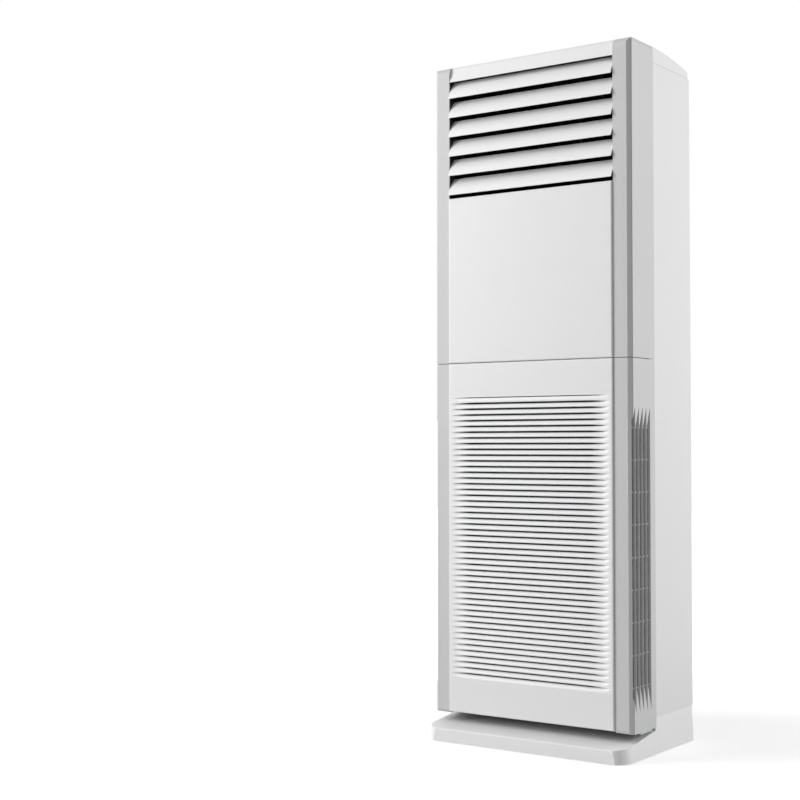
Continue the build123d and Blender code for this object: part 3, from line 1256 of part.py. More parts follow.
# ---- fasteners ---------------------------------------------------------------------------------
def screw_places():
    """Places of the screws along the two upright edges of the back."""
    x = CASE_HALF - FLANGE / 2
    low = BASE_HEIGHT + FLANGE
    step = (CASE_TOP - FLANGE - low) / (SCREW_ROWS - 1)
    return [(side * x, low + k * step) for side in (-1, 1) for k in range(SCREW_ROWS)]


def screw_holes():
    """Clearance for the screws through the back and the flanges under it."""
    return [spindle(x, z, CASE_DEPTH - 2 * SHEET, CASE_DEPTH, SCREW_SHANK + SCREW_PLAY)
            for x, z in screw_places()]


def casing_screws():
    """Screws of the back: pan heads on the steel, shanks through the flanges."""
    head = block(0, SCREW_HEAD, CASE_DEPTH, CASE_DEPTH + SCREW_HEIGHT)
    head = rounded(head, SCREW_HEIGHT / 2, (SCREW_HEAD, CASE_DEPTH + SCREW_HEIGHT))
    shank = block(0, SCREW_SHANK, CASE_DEPTH - SCREW_LENGTH, CASE_DEPTH)
    return Compound([turned(head + shank, x, z) for x, z in screw_places()])


def name_pieces():
    """Build every piece under its name."""
    keep("base_plinth", base_plinth())
    keep("rubber_pads", rubber_pads())
    keep("floor_pan", floor_pan())
    side = side_panel()
    keep("right_side_panel", side)
    keep("left_side_panel", mirror(side, Plane.YZ))
    keep("rear_panel", rear_panel())
    keep("pipe_grommet", pipe_grommet())
    keep("top_cover", top_cover())
    keep("top_fascia", top_fascia())
    upper = upper_pillar()
    lower = lower_pillar()
    keep("upper_right_pillar", upper)
    keep("upper_left_pillar", mirror(upper, Plane.YZ))
    keep("lower_right_pillar", lower)
    keep("lower_left_pillar", mirror(lower, Plane.YZ))
    keep("upper_front_panel", upper_front_panel())
    keep("receiver_board", receiver_board())
    keep("middle_rail", middle_rail())
    keep("lower_intake_panel", lower_intake_panel())
    keep("filter_frame", filter_frame())
    keep("filter_net", filter_net())
    keep("outlet_frame", outlet_frame())
    keep("outlet_duct", outlet_duct())
    for k in range(LOUVRES):
        keep(f"louvre_{k + 1}", louvre(louvre_height(k)))
    keep("louvre_link", louvre_link())
    for k in range(VANES):
        keep(f"vane_{k + 1}", vane(vane_x(k)))
    keep("vane_link", vane_link())
    keep("swing_motors", swing_motors())
    keep("blower_deck", blower_deck())
    keep("scroll_housing", scroll_housing())
    keep("scroll_front", scroll_front())
    keep("fan_wheel", fan_wheel())
    keep("fan_blades", fan_blades())
    keep("motor_shaft", motor_shaft())
    keep("fan_motor", fan_motor())
    keep("motor_grommets", motor_grommets())
    keep("motor_bracket", motor_bracket())
    keep("coil_front_plate", coil_front_plate())
    keep("coil_fins", coil_fins())
    keep("coil_tubes", coil_tubes())
    keep("coil_plates", coil_plates())
    keep("drain_tray", drain_tray())
    keep("drain_hose", drain_hose())
    keep("gas_pipe", gas_pipe())
    keep("liquid_pipe", liquid_pipe())
    keep("flare_nuts", flare_nuts())
    keep("electrical_box", electrical_box())
    keep("electrical_lid", electrical_lid())
    keep("control_board", control_board())
    keep("terminal_block", terminal_block())
    keep("casing_screws", casing_screws())


name_pieces()
os.makedirs("parts", exist_ok=True)
for piece, shape in PARTS.items():
    export_step(shape, f"parts/{piece}.step")
print(len(PARTS), "pieces")
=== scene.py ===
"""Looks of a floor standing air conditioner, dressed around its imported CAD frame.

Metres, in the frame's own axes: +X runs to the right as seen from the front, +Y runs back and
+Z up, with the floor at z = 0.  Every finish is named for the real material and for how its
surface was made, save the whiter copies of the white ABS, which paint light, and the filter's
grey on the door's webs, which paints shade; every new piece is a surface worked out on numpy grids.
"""
from __future__ import annotations

import json
import logging
import math
from dataclasses import dataclass, field
from enum import Enum

import bmesh
import bpy
import numpy as np
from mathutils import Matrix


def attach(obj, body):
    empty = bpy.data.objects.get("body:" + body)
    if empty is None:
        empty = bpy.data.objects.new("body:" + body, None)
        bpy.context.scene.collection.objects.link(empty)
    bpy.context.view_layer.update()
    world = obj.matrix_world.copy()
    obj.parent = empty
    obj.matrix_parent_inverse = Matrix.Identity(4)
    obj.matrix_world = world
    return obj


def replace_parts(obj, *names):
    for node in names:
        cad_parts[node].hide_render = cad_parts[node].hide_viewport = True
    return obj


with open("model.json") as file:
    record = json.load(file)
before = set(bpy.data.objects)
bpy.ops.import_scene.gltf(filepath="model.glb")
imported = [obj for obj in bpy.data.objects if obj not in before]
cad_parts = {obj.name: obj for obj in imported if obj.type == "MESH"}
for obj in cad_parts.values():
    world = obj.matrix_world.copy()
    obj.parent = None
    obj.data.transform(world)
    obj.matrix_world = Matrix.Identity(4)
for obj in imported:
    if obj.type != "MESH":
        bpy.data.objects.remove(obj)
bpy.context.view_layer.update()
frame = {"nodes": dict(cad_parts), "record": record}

log = logging.getLogger("air_conditioner")
MM = 0.001
FRONT = -0.154            # y of the pillars' faces
LOUVRES = 6
SRGB_TOE = 0.04045        # below this an sRGB value is a straight share of the linear one
MIDDLE_LOW = 0.3          # a noise spends nearly all of its area between these two heights
MIDDLE_HIGH = 0.7


# ---- shader helpers ----------------------------------------------------------------------------
def linear(code: str) -> tuple[float, float, float, float]:
    """Turn an sRGB hex colour into linear RGBA.

    Args:
        code: six hex digits with a leading #.

    Returns:
        The linear colour with full alpha.
    """
    steps = [int(code[k:k + 2], 16) / 255 for k in (1, 3, 5)]
    parts = [c / 12.92 if c <= SRGB_TOE else ((c + 0.055) / 1.055) ** 2.4 for c in steps]
    return (parts[0], parts[1], parts[2], 1.0)


def darker(code: str, share: float) -> tuple[float, float, float, float]:
    """Turn an sRGB hex colour into linear RGBA, less a share of its light.

    Args:
        code: six hex digits with a leading #.
        share: how much of the light goes, from 0 to 1.

    Returns:
        The darker linear colour with full alpha.
    """
    red, green, blue, alpha = linear(code)
    return (red * (1 - share), green * (1 - share), blue * (1 - share), alpha)


def add_node(tree: bpy.types.NodeTree, kind: str, inputs: dict | None = None,
             **settings: object) -> bpy.types.Node:
    """Add one node with its settings, input values and links.

    Args:
        tree: the node tree to add to.
        kind: the node's type name without the ShaderNode prefix.
        inputs: socket name or number to a value, or to an output socket to link from.
        settings: properties of the node itself.

    Returns:
        The new node.
    """
    node = tree.nodes.new("ShaderNode" + kind)
    for name, value in settings.items():
        setattr(node, name, value)
    for name, value in (inputs or {}).items():
        if isinstance(value, bpy.types.NodeSocket):
            tree.links.new(value, node.inputs[name])
        else:
            node.inputs[name].default_value = value
    return node


def per_metre(size_mm: float) -> float:
    """Scale of a texture whose cells are this many millimetres wide, on coordinates in metres."""
    return 1.0 / (size_mm * MM)


# ---- finishes ----------------------------------------------------------------------------------
@dataclass(frozen=True)
class Finish:
    """A surface as it was made: its colour, gloss and the relief that the tool left.

    The base class is a spark-eroded or polished moulding; the others change the relief.
    """

    name: str
    colour: str
    roughness: float = 0.45
    metallic: float = 0.0
    ior: float = 1.50
    relief_mm: float = 0.9          # width of the relief's grains
    relief_depth: float = 0.05      # and their height, in millimetres
    mottle: float = 0.03            # share of light that the darkest places lose
    mottle_mm: float = 160.0
    wander: float = 0.08            # share by which the roughness wanders to either side
    coat: float = 0.0
    coat_roughness: float = 0.12

    def material(self) -> bpy.types.Material:
        """Build the node material.

        Returns:
            The finished material.
        """
        made = bpy.data.materials.new(self.name)
        made.use_nodes = True
        tree = made.node_tree
        tree.nodes.clear()
        place = add_node(tree, "TexCoord").outputs["Object"]
        shader = add_node(tree, "BsdfPrincipled", {
            "Metallic": self.metallic, "IOR": self.ior, "Coat Weight": self.coat,
            "Coat Roughness": self.coat_roughness})
        add_node(tree, "OutputMaterial", {"Surface": shader.outputs[0]})
        self.paint(tree, shader, place)
        self.emboss(tree, shader, place)
        return made

    def paint(self, tree: bpy.types.NodeTree, shader: bpy.types.Node,
              place: bpy.types.NodeSocket) -> None:
        """Colour with the slow mottle of a real batch, and gloss that wanders with it.

        Args:
            tree: the material's nodes.
            shader: the principled shader.
            place: object coordinates.
        """
        cloud = add_node(tree, "TexNoise", {"Vector": place, "Scale": per_metre(self.mottle_mm),
                                            "Detail": 4.0, "Roughness": 0.55})
        tone = add_node(tree, "ValToRGB", {"Fac": cloud.outputs["Fac"]})
        low, high = tone.color_ramp.elements
        low.position, low.color = MIDDLE_LOW, darker(self.colour, self.mottle)
        high.position, high.color = MIDDLE_HIGH, linear(self.colour)
        tree.links.new(tone.outputs["Color"], shader.inputs["Base Color"])
        gloss = add_node(tree, "MapRange", {
            "Value": cloud.outputs["Fac"], "From Min": MIDDLE_LOW, "From Max": MIDDLE_HIGH,
            "To Min": self.roughness * (1 - self.wander),
            "To Max": min(1.0, self.roughness * (1 + self.wander))})
        tree.links.new(gloss.outputs["Result"], shader.inputs["Roughness"])

    def emboss(self, tree: bpy.types.NodeTree, shader: bpy.types.Node,
               place: bpy.types.NodeSocket) -> None:
        """Fine relief of a textured mould.

        Args:
            tree: the material's nodes.
            shader: the principled shader.
            place: object coordinates.
        """
        grain = add_node(tree, "TexNoise", {"Vector": place, "Scale": per_metre(self.relief_mm),
                                            "Detail": 2.0})
        self.bump(tree, shader, grain.outputs["Fac"])

    def bump(self, tree: bpy.types.NodeTree, shader: bpy.types.Node,
             height: bpy.types.NodeSocket) -> None:
        """Turn a height between 0 and 1 into the surface's relief.

        Args:
            tree: the material's nodes.
            shader: the principled shader.
            height: the height, as a socket.
        """
        relief = add_node(tree, "Bump", {"Height": height, "Distance": self.relief_depth * MM,
                                         "Strength": 1.0})
        tree.links.new(relief.outputs["Normal"], shader.inputs["Normal"])


@dataclass(frozen=True)
class ZincSheet(Finish):
    """Hot dip galvanised sheet: flat crystals, each with its own brightness and gloss."""

    spangle_mm: float = 9.0
    wander: float = 0.2

    def paint(self, tree: bpy.types.NodeTree, shader: bpy.types.Node,
              place: bpy.types.NodeSocket) -> None:
        """Give each crystal its own tone and gloss from its cell's random colour.

        Args:
            tree: the material's nodes.
            shader: the principled shader.
            place: object coordinates.
        """
        cells = add_node(tree, "TexVoronoi", {"Vector": place, "Scale": per_metre(self.spangle_mm)})
        tone = add_node(tree, "SeparateColor", {"Color": cells.outputs["Color"]})
        shade = add_node(tree, "Mix", {"Factor": tone.outputs["Red"]}, data_type="RGBA")
        shade.inputs["A"].default_value = darker(self.colour, self.mottle)
        shade.inputs["B"].default_value = linear(self.colour)
        tree.links.new(shade.outputs["Result"], shader.inputs["Base Color"])
        gloss = add_node(tree, "MapRange", {"Value": tone.outputs["Green"],
                                            "To Min": self.roughness * (1 - self.wander),
                                            "To Max": self.roughness * (1 + self.wander)})
        tree.links.new(gloss.outputs["Result"], shader.inputs["Roughness"])


@dataclass(frozen=True)
class CellFoam(Finish):
    """Closed cell foam: a skin of small round cells that are dark in their hollows."""

    def emboss(self, tree: bpy.types.NodeTree, shader: bpy.types.Node,
               place: bpy.types.NodeSocket) -> None:
        """Cells: height is the distance to the nearest cell's middle, so each is a small cup.

        Args:
            tree: the material's nodes.
            shader: the principled shader.
            place: object coordinates.
        """
        cells = add_node(tree, "TexVoronoi", {"Vector": place, "Scale": per_metre(self.relief_mm)})
        self.bump(tree, shader, cells.outputs["Distance"])


@dataclass(frozen=True)
class DrawnMetal(Finish):
    """Drawn, turned or rolled metal: fine lines along the direction of working."""

    along: tuple[float, float, float] = (0.04, 1.0, 1.0)

    def emboss(self, tree: bpy.types.NodeTree, shader: bpy.types.Node,
               place: bpy.types.NodeSocket) -> None:
        """Noise stretched along the working direction, so that it reads as lines.

        Args:
            tree: the material's nodes.
            shader: the principled shader.
            place: object coordinates.
        """
        pulled = add_node(tree, "Mapping", {"Vector": place, "Scale": self.along})
        lines = add_node(tree, "TexNoise", {"Vector": pulled.outputs["Vector"],
                                            "Scale": per_metre(self.relief_mm), "Detail": 2.0})
        self.bump(tree, shader, lines.outputs["Fac"])


@dataclass(frozen=True)
class CircuitLaminate(Finish):
    """Glass-filled laminate under green lacquer, with copper tracks that show as paler lines."""

    track: str = "#3f8a56"
    field_mm: float = 60.0
    track_share: float = 0.014      # a track's width as a share of the field

    def paint(self, tree: bpy.types.NodeTree, shader: bpy.types.Node,
              place: bpy.types.NodeSocket) -> None:
        """Draw the tracks as the mortar of a brick pattern in the board's plane.

        Args:
            tree: the material's nodes.
            shader: the principled shader.
            place: object coordinates.
        """
        turned = add_node(tree, "Mapping", {"Vector": place,
                                            "Rotation": (math.radians(90), 0.0, 0.0)})
        tracks = add_node(tree, "TexBrick", {
            "Vector": turned.outputs["Vector"], "Scale": per_metre(self.field_mm),
            "Mortar Size": self.track_share, "Color1": linear(self.colour),
            "Color2": linear(self.colour), "Mortar": linear(self.track)})
        tree.links.new(tracks.outputs["Color"], shader.inputs["Base Color"])
        shader.inputs["Roughness"].default_value = self.roughness


@dataclass(frozen=True)
class NetWeave(Finish):
    """Plain weave of round nylon threads with dark gaps between them."""

    thread_mm: float = 2.4          # coarser than the real 1.2 mm, so that the weave still reads
    gap: str = "#101112"
    gap_top: float = 0.62           # height of the wave up to which it is gap
    thread_foot: float = 0.80       # and from which it is thread
    axes: tuple[str, str] = ("X", "Z")

    def paint(self, tree: bpy.types.NodeTree, shader: bpy.types.Node,
              place: bpy.types.NodeSocket) -> None:
        """Weave: thread where either wave is high, gap where both are low.

        A wave is the sine of the place along one axis, turned positive; the higher of the two
        is the weave's height too.

        Args:
            tree: the material's nodes.
            shader: the principled shader.
            place: object coordinates.
        """
        parts = add_node(tree, "SeparateXYZ", {"Vector": place})
        waves = []
        for axis in self.axes:
            turn = add_node(tree, "Math", {0: parts.outputs[axis],
                                           1: math.pi * per_metre(self.thread_mm)},
                            operation="MULTIPLY")
            wave = add_node(tree, "Math", {0: turn.outputs[0]}, operation="SINE")
            waves.append(add_node(tree, "Math", {0: wave.outputs[0]}, operation="ABSOLUTE"))
        crest = add_node(tree, "Math", {0: waves[0].outputs[0], 1: waves[1].outputs[0]},
                         operation="MAXIMUM")
        tone = add_node(tree, "ValToRGB", {"Fac": crest.outputs[0]})
        low, high = tone.color_ramp.elements
        low.position, low.color = self.gap_top, linear(self.gap)
        high.position, high.color = self.thread_foot, linear(self.colour)
        tree.links.new(tone.outputs["Color"], shader.inputs["Base Color"])
        shader.inputs["Roughness"].default_value = self.roughness
        self.bump(tree, shader, crest.outputs[0])

    def emboss(self, tree: bpy.types.NodeTree, shader: bpy.types.Node,
               place: bpy.types.NodeSocket) -> None:
        """The threads themselves are the relief, so nothing is added."""


class Surface(Enum):
    """The unit's finishes, each by its common name and by how it was made; the whiter copies of the
    white ABS paint light, and the filter's grey paints shade on the door's webs.
    """

    # Satin white moulded ABS: a soft, wide sheen and hardly any grain; batches differ a little.
    WHITE_ABS = Finish("white_abs_satin_moulded", "#f1f1f1", roughness=0.42, relief_mm=0.7,
                       relief_depth=0.02, mottle=0.012)
    # The blades' ABS: a whiter copy of the white ABS whose extra whiteness is painted light, and a
    # touch glossier.
    LOUVRE_ABS_PAINTED_LIGHT = Finish("white_abs_louvre_painted_light", "#f6f6f6", roughness=0.38, relief_mm=0.7,
                        relief_depth=0.02, mottle=0.01)
    # The grille's ribs: a whiter copy of the white ABS, a painted highlight so that their edges
    # shine between the dark slots.
    RIB_ABS_PAINTED_HIGHLIGHT = Finish("white_abs_rib_painted_highlight", "#f8f8f8", roughness=0.40, relief_mm=0.7,
                     relief_depth=0.015, mottle=0.01)
    # The base's ABS: a whiter copy of the white ABS, painted light on the base, with a coarser
    # mould texture, which spreads its sheen wider.
    BASE_ABS_PAINTED_LIGHT = Finish("white_abs_base_painted_light", "#f6f6f6", roughness=0.45, relief_mm=0.8,
                      relief_depth=0.02, mottle=0.012)
    # Light grey satin ABS of the pillars: a clear tone under the white, with a narrower sheen.
    GREY_ABS = Finish("light_grey_abs_satin_moulded", "#d0d0d0", roughness=0.40, relief_mm=0.7,
                      relief_depth=0.02, mottle=0.015)
    # Polystyrene of the unseen mouldings: duller and a little more uneven than the ABS.
    PALE_HIPS = Finish("pale_polystyrene_moulded", "#eeeeee", roughness=0.48, relief_mm=0.8,
                       relief_depth=0.03, mottle=0.02)
    # Powder coat on steel sheet: a fine orange peel that softens every reflection.
    COATED_STEEL = Finish("powder_coated_steel", "#ececec", roughness=0.5, relief_mm=2.6,
                          relief_depth=0.035, mottle=0.015)
    # Hot dip galvanised sheet: flat grey crystals that flash one by one.
    ZINC = ZincSheet("galvanised_sheet", "#b9bec2", roughness=0.42, metallic=1.0, mottle=0.22,
                     relief_mm=1.2, relief_depth=0.01)
    # Bright zinc plate on turned heads: small, sharp highlights in each cross.
    ZINC_SCREW = DrawnMetal("zinc_plated_screw", "#c9cbcc", roughness=0.28, metallic=1.0,
                            mottle=0.1, relief_mm=0.3, relief_depth=0.01)
    # Moulded black rubber: matt, with a bloom that leaves it cloudy.
    RUBBER = Finish("black_rubber_moulded", "#1c1c1d", roughness=0.78, relief_mm=0.6,
                    relief_depth=0.06, mottle=0.25)
    # Black polypropylene: a dark, half-gloss moulding.
    BLACK_PP = Finish("black_polypropylene_moulded", "#1b1c1e", roughness=0.5, relief_mm=0.8,
                      relief_depth=0.03, mottle=0.15)
    # Dark grey polypropylene of the filter's frame, waxy and slightly uneven; also laid on the
    # door's webs as painted shade in the slots.
    FILTER_PP_AND_WEB_SHADE = Finish("grey_polypropylene_filter_and_web_shade", "#4b5054", roughness=0.55, relief_mm=0.8,
                       relief_depth=0.03, mottle=0.12)
    # Woven nylon of the filter: grey threads over dark gaps.
    NET_NYLON = NetWeave("nylon_filter_weave", "#5c6062", roughness=0.5, relief_depth=0.3)
    # The same weave, darker and duller, for the screens behind the side slots.
    SCREEN_NYLON = NetWeave("nylon_side_screen_weave", "#3a3c3e", roughness=0.6,
                            relief_depth=0.3, axes=("Y", "Z"))
    # Closed cell foam of the duct: nearly black, with no sheen and a cupped skin.
    FOAM = CellFoam("black_closed_cell_foam", "#141415", roughness=0.9, relief_mm=1.6,
                    relief_depth=0.5, mottle=0.3)
    # Baked grey enamel on the motor's shell: a thin clear skin over a rolled ripple.
    ENAMEL = Finish("grey_motor_enamel", "#595c60", roughness=0.36, relief_mm=2.0,
                    relief_depth=0.03, mottle=0.08, coat=0.3)
    # Bare rolled aluminium of the fins: bright, with fine lines from the rolls.
    FIN_ALUMINIUM = DrawnMetal("bare_aluminium_fin_stock", "#c4c7ca", roughness=0.34,
                               metallic=1.0, mottle=0.12, relief_mm=0.8, relief_depth=0.02)
    # Drawn copper: warm, with darker patches where it has been handled or brazed.
    COPPER = DrawnMetal("drawn_copper_tube", "#c07a52", roughness=0.3, metallic=1.0, mottle=0.3,
                        mottle_mm=45.0, relief_mm=0.8, relief_depth=0.01, along=(1.0, 1.0, 0.04))
    # Turned brass: yellow, bright and finely lined.
    BRASS = DrawnMetal("turned_brass_nut", "#c6a24e", roughness=0.26, metallic=1.0, mottle=0.12,
                       relief_mm=0.4, relief_depth=0.01)
    # Uncoloured polypropylene of the drain hose: a milky off-white.
    NATURAL_PP = Finish("natural_polypropylene", "#d9d9d2", roughness=0.45, relief_mm=1.0,
                        relief_depth=0.03, mottle=0.05)
    # Laminate under green lacquer: glossy, with paler tracks.
    LAMINATE = CircuitLaminate("green_circuit_laminate", "#1f5f37", roughness=0.3,
                               relief_mm=0.8, relief_depth=0.03)


SLOT_SURFACES = {
    "white_moulding": Surface.WHITE_ABS,
    "grey_moulding": Surface.GREY_ABS,
    "light_moulding": Surface.PALE_HIPS,
    "white_steel": Surface.COATED_STEEL,
    "zinc_steel": Surface.ZINC,
    "screw_steel": Surface.ZINC_SCREW,
    "black_rubber": Surface.RUBBER,
    "black_moulding": Surface.BLACK_PP,
    "filter_moulding": Surface.FILTER_PP_AND_WEB_SHADE,
    "foam": Surface.FOAM,
    "motor_paint": Surface.ENAMEL,
    "aluminium_fin": Surface.FIN_ALUMINIUM,
    "copper": Surface.COPPER,
    "brass_nut": Surface.BRASS,
    "hose_moulding": Surface.NATURAL_PP,
    "board": Surface.LAMINATE,
}


class Palette:
    """Builds each finish once and hands it out."""

    def __init__(self) -> None:
        """Start with no material made."""
        self.made: dict[Surface, bpy.types.Material] = {}

    def get(self, surface: Surface) -> bpy.types.Material:
        """Hand out the material of a finish, made on first use.

        Args:
            surface: the finish.

        Returns:
            Its one material.
        """
        if surface not in self.made:
            self.made[surface] = surface.value.material()
        return self.made[surface]

    def coat(self, piece: bpy.types.Object, surface: Surface) -> None:
        """Give every material slot of a piece one finish.

        Args:
            piece: the piece or CAD node.
            surface: the finish.
        """
        material = self.get(surface)
        if not piece.material_slots:
            piece.data.materials.append(material)
        for holder in piece.material_slots:
            holder.material = material


# ---- studio ------------------------------------------------------------------------------------
@dataclass(frozen=True)
class Lamp:
    """A soft rectangular lamp that faces the object's middle."""

    name: str
    place: tuple[float, float, float]
    size: tuple[float, float]
    watts: float
    aim: tuple[float, float, float] = (0.0, 0.0, 0.9)

    def hang(self) -> None:
        """Add the lamp to the scene, tipped and turned so that it shines at its aim."""
        data = bpy.data.lights.new(self.name, "AREA")
        data.shape = "RECTANGLE"
        data.size, data.size_y = self.size
        data.energy = self.watts
        light = bpy.data.objects.new(self.name, data)
        bpy.context.scene.collection.objects.link(light)
        light.location = self.place
        gaze = np.array(self.aim) - np.array(self.place)
        flat = math.hypot(gaze[0], gaze[1])
        light.rotation_euler = (math.atan2(flat, -gaze[2]), 0.0, math.atan2(-gaze[0], gaze[1]))


@dataclass
class Studio:
    """Pale floor, soft lamps and the camera of the photograph; places in metres."""

    lens_mm: float = 66.81
    sensor_mm: float = 36.0
    camera_at: tuple[float, float, float] = (1.90984, -3.38509, 0.75846)
    yaw_deg: float = 35.54
    pitch_deg: float = 1.79
    sight: float = 50.0             # how far the camera sees
    fill: float = 0.28              # strength of the even light on the object
    floor_half: float = 12.0
    floor_grey: float = 0.60        # share of light that the floor gives back
    floor_lift: float = 0.58        # glow that rays but diffuse ones find under the object
    lift_from: float = 0.5          # it rises to one between these distances from the middle
    lift_to: float = 2.0
    lamps: tuple[Lamp, ...] = (
        Lamp("left_low", (-5.0, -3.9, 2.6), (2.4, 3.2), 254.0),
        Lamp("left_high", (-3.2, -3.4, 5.4), (2.8, 2.8), 84.0),
        Lamp("behind_right", (3.9, 3.05, 2.0), (2.0, 3.2), 139.0))

    def camera(self) -> None:
        """Place the camera: it looks along +Y, tips up by the pitch and turns left by the yaw."""
        data = bpy.data.cameras.new("camera")
        data.lens = self.lens_mm
        data.sensor_width = self.sensor_mm
        data.clip_end = self.sight
        seer = bpy.data.objects.new("camera", data)
        bpy.context.scene.collection.objects.link(seer)
        seer.location = self.camera_at
        seer.rotation_euler = (math.radians(90 + self.pitch_deg), 0.0, math.radians(self.yaw_deg))
        bpy.context.scene.camera = seer

    def floor(self) -> None:
        """Lay the floor: it keeps the shadow, and lifts to white away from the object."""
        half = self.floor_half
        mesh = bpy.data.meshes.new("floor")
        mesh.from_pydata([(-half, -half, 0), (half, -half, 0), (half, half, 0), (-half, half, 0)],
                         [], [(0, 1, 2, 3)])
        mesh.materials.append(self.floor_paper())
        plane = bpy.data.objects.new("floor", mesh)
        bpy.context.scene.collection.objects.link(plane)

    def floor_paper(self) -> bpy.types.Material:
        """Matt grey paper, with a glow on top for all but diffuse rays.

        The glow rises as a smooth step of the distance to the middle, so the floor keeps the
        shadow beside the object and is white farther out.

        Returns:
            The floor's material.
        """
        made = bpy.data.materials.new("white_studio_floor")
        made.use_nodes = True
        tree = made.node_tree
        tree.nodes.clear()
        paper = add_node(tree, "BsdfDiffuse", {
            "Color": (self.floor_grey, self.floor_grey, self.floor_grey, 1.0)})
        place = add_node(tree, "TexCoord").outputs["Object"]
        away = add_node(tree, "VectorMath", {0: place}, operation="LENGTH")
        rise = add_node(tree, "MapRange", {
            "Value": away.outputs["Value"], "From Min": self.lift_from, "From Max": self.lift_to,
            "To Min": self.floor_lift, "To Max": 1.0}, interpolation_type="SMOOTHSTEP")
        glow = add_node(tree, "Emission", {"Strength": rise.outputs["Result"]})
        lifted = add_node(tree, "AddShader", {0: paper.outputs[0], 1: glow.outputs[0]})
        pick = add_node(tree, "MixShader", {0: self.clear_rays(tree), 1: paper.outputs[0],
                                            2: lifted.outputs[0]})
        add_node(tree, "OutputMaterial", {"Surface": pick.outputs[0]})
        return made

    def world(self) -> None:
        """White backdrop to the camera and in reflections, and an even grey fill on the object."""
        world = bpy.data.worlds.new("studio")
        bpy.context.scene.world = world
        world.use_nodes = True
        tree = world.node_tree
        tree.nodes.clear()
        white = add_node(tree, "Background", {"Color": (1, 1, 1, 1), "Strength": 1.0})
        fill = add_node(tree, "Background", {"Color": (1, 1, 1, 1), "Strength": self.fill})
        pick = add_node(tree, "MixShader", {0: self.clear_rays(tree), 1: fill.outputs[0],
                                            2: white.outputs[0]})
        add_node(tree, "OutputWorld", {"Surface": pick.outputs[0]})

    @staticmethod
    def clear_rays(tree: bpy.types.NodeTree) -> bpy.types.NodeSocket:
        """Tell rays of the camera, of gloss and through clear parts from diffuse light.

        Args:
            tree: the nodes to add to.

        Returns:
            A socket that is one for the first three kinds and zero for the last.
        """
        seen = add_node(tree, "LightPath")
        either = add_node(tree, "Math", {0: seen.outputs["Is Camera Ray"],
                                         1: seen.outputs["Is Glossy Ray"]}, operation="MAXIMUM")
        whole = add_node(tree, "Math", {0: either.outputs[0],
                                        1: seen.outputs["Is Transmission Ray"]},
                         operation="MAXIMUM")
        return whole.outputs[0]

    def build(self) -> None:
        """Set up the whole studio."""
        self.camera()
        self.floor()
        self.world()
        for lamp in self.lamps:
            lamp.hang()
        bpy.context.scene.view_settings.view_transform = "Standard"


# ---- surfaces ----------------------------------------------------------------------------------
@dataclass
class Patch:
    """Points, and faces given as tuples of point numbers."""

    points: np.ndarray
    faces: list[tuple[int, ...]]

    @classmethod
    def bar(cls, net: np.ndarray) -> "Patch":
        """A closed bar: section loops carried through stations, with one flat cap at each end.

        Args:
            net: points by station, place on the loop and axis; the loop closes on itself.

        Returns:
            The bar, its faces outward.
        """
        stations, loop = net.shape[:2]
        index = np.arange(stations * loop).reshape(stations, loop)
        ahead = np.roll(index, -1, axis=1)
        quads = np.stack([index[:-1], index[1:], ahead[1:], ahead[:-1]], axis=-1).reshape(-1, 4)
        points = net.reshape(-1, 3)
        faces = [*map(tuple, quads.tolist()), tuple(index[0].tolist()),
                 tuple(index[-1][::-1].tolist())]
        middle = points.mean(axis=0)
        corner = points[quads] - middle
        volume = np.einsum("ij,ij->i", corner[:, 0], np.cross(corner[:, 1], corner[:, 2])
                           + np.cross(corner[:, 2], corner[:, 3])).sum()
        if volume < 0:
            faces = [face[::-1] for face in faces]
        return cls(points, faces)

    @classmethod
    def of_mesh(cls, body: bmesh.types.BMesh) -> "Patch":
        """Take the points and faces of a worked mesh.

        Args:
            body: the mesh.

        Returns:
            The patch.
        """
        body.verts.ensure_lookup_table()
        body.verts.index_update()
        return cls(np.array([point.co[:] for point in body.verts]),
                   [tuple(corner.index for corner in face.verts) for face in body.faces])

    def moved(self, shift: np.ndarray) -> "Patch":
        """The same patch, with a shift added to each of its points."""
        return Patch(self.points + shift, self.faces)

    @staticmethod
    def join(patches: list["Patch"]) -> "Patch":
        """Put several patches into one, with their faces renumbered.

        Args:
            patches: at least one.

        Returns:
            The one patch.
        """
        starts = np.cumsum([0] + [len(patch.points) for patch in patches[:-1]])
        faces = [tuple(number + int(start) for number in face)
                 for patch, start in zip(patches, starts) for face in patch.faces]
        return Patch(np.concatenate([patch.points for patch in patches]), faces)

    def piece(self, name: str, sharp_deg: float = 32.0) -> bpy.types.Object:
        """Make a Blender object of the patch, smooth but for edges sharper than an angle.

        Args:
            name: the object's name.
            sharp_deg: edges that turn by more than this stay sharp.

        Returns:
            The object, at the origin.
        """
        mesh = bpy.data.meshes.new(name)
        mesh.from_pydata(self.points.tolist(), [], self.faces)
        mesh.polygons.foreach_set("use_smooth", np.ones(len(mesh.polygons), dtype=bool))
        mesh.set_sharp_from_angle(angle=math.radians(sharp_deg))
        mesh.update()
        made = bpy.data.objects.new(name, mesh)
        bpy.context.scene.collection.objects.link(made)
        log.info("built %s with %d faces", name, len(mesh.polygons))
        return made


def ease(share: np.ndarray) -> np.ndarray:
    """Smooth step from 0 to 1: three squares less two cubes of the share, held at both ends."""
    held = np.clip(share, 0.0, 1.0)
    return held * held * (3.0 - 2.0 * held)


# ---- sub-assemblies ----------------------------------------------------------------------------
@dataclass
class SubAssembly:
    """CAD nodes that belong together; each gets the finish of its slot unless one is named."""

    palette: Palette
    nodes: tuple[str, ...] = ()
    special: dict[str, Surface] = field(default_factory=dict)

    def dress(self) -> None:
        """Coat every node of the group."""
        for part in frame["record"]["subparts"]:
            node = part["node"]
            if node.startswith(self.nodes):
                surface = self.special.get(node, SLOT_SURFACES[part["material_slot"]])
                self.palette.coat(frame["nodes"][node], surface)
                log.info("dressed %s", node)

    def build(self) -> None:
        """Build the pieces that the group has beyond its CAD nodes; most groups have none."""


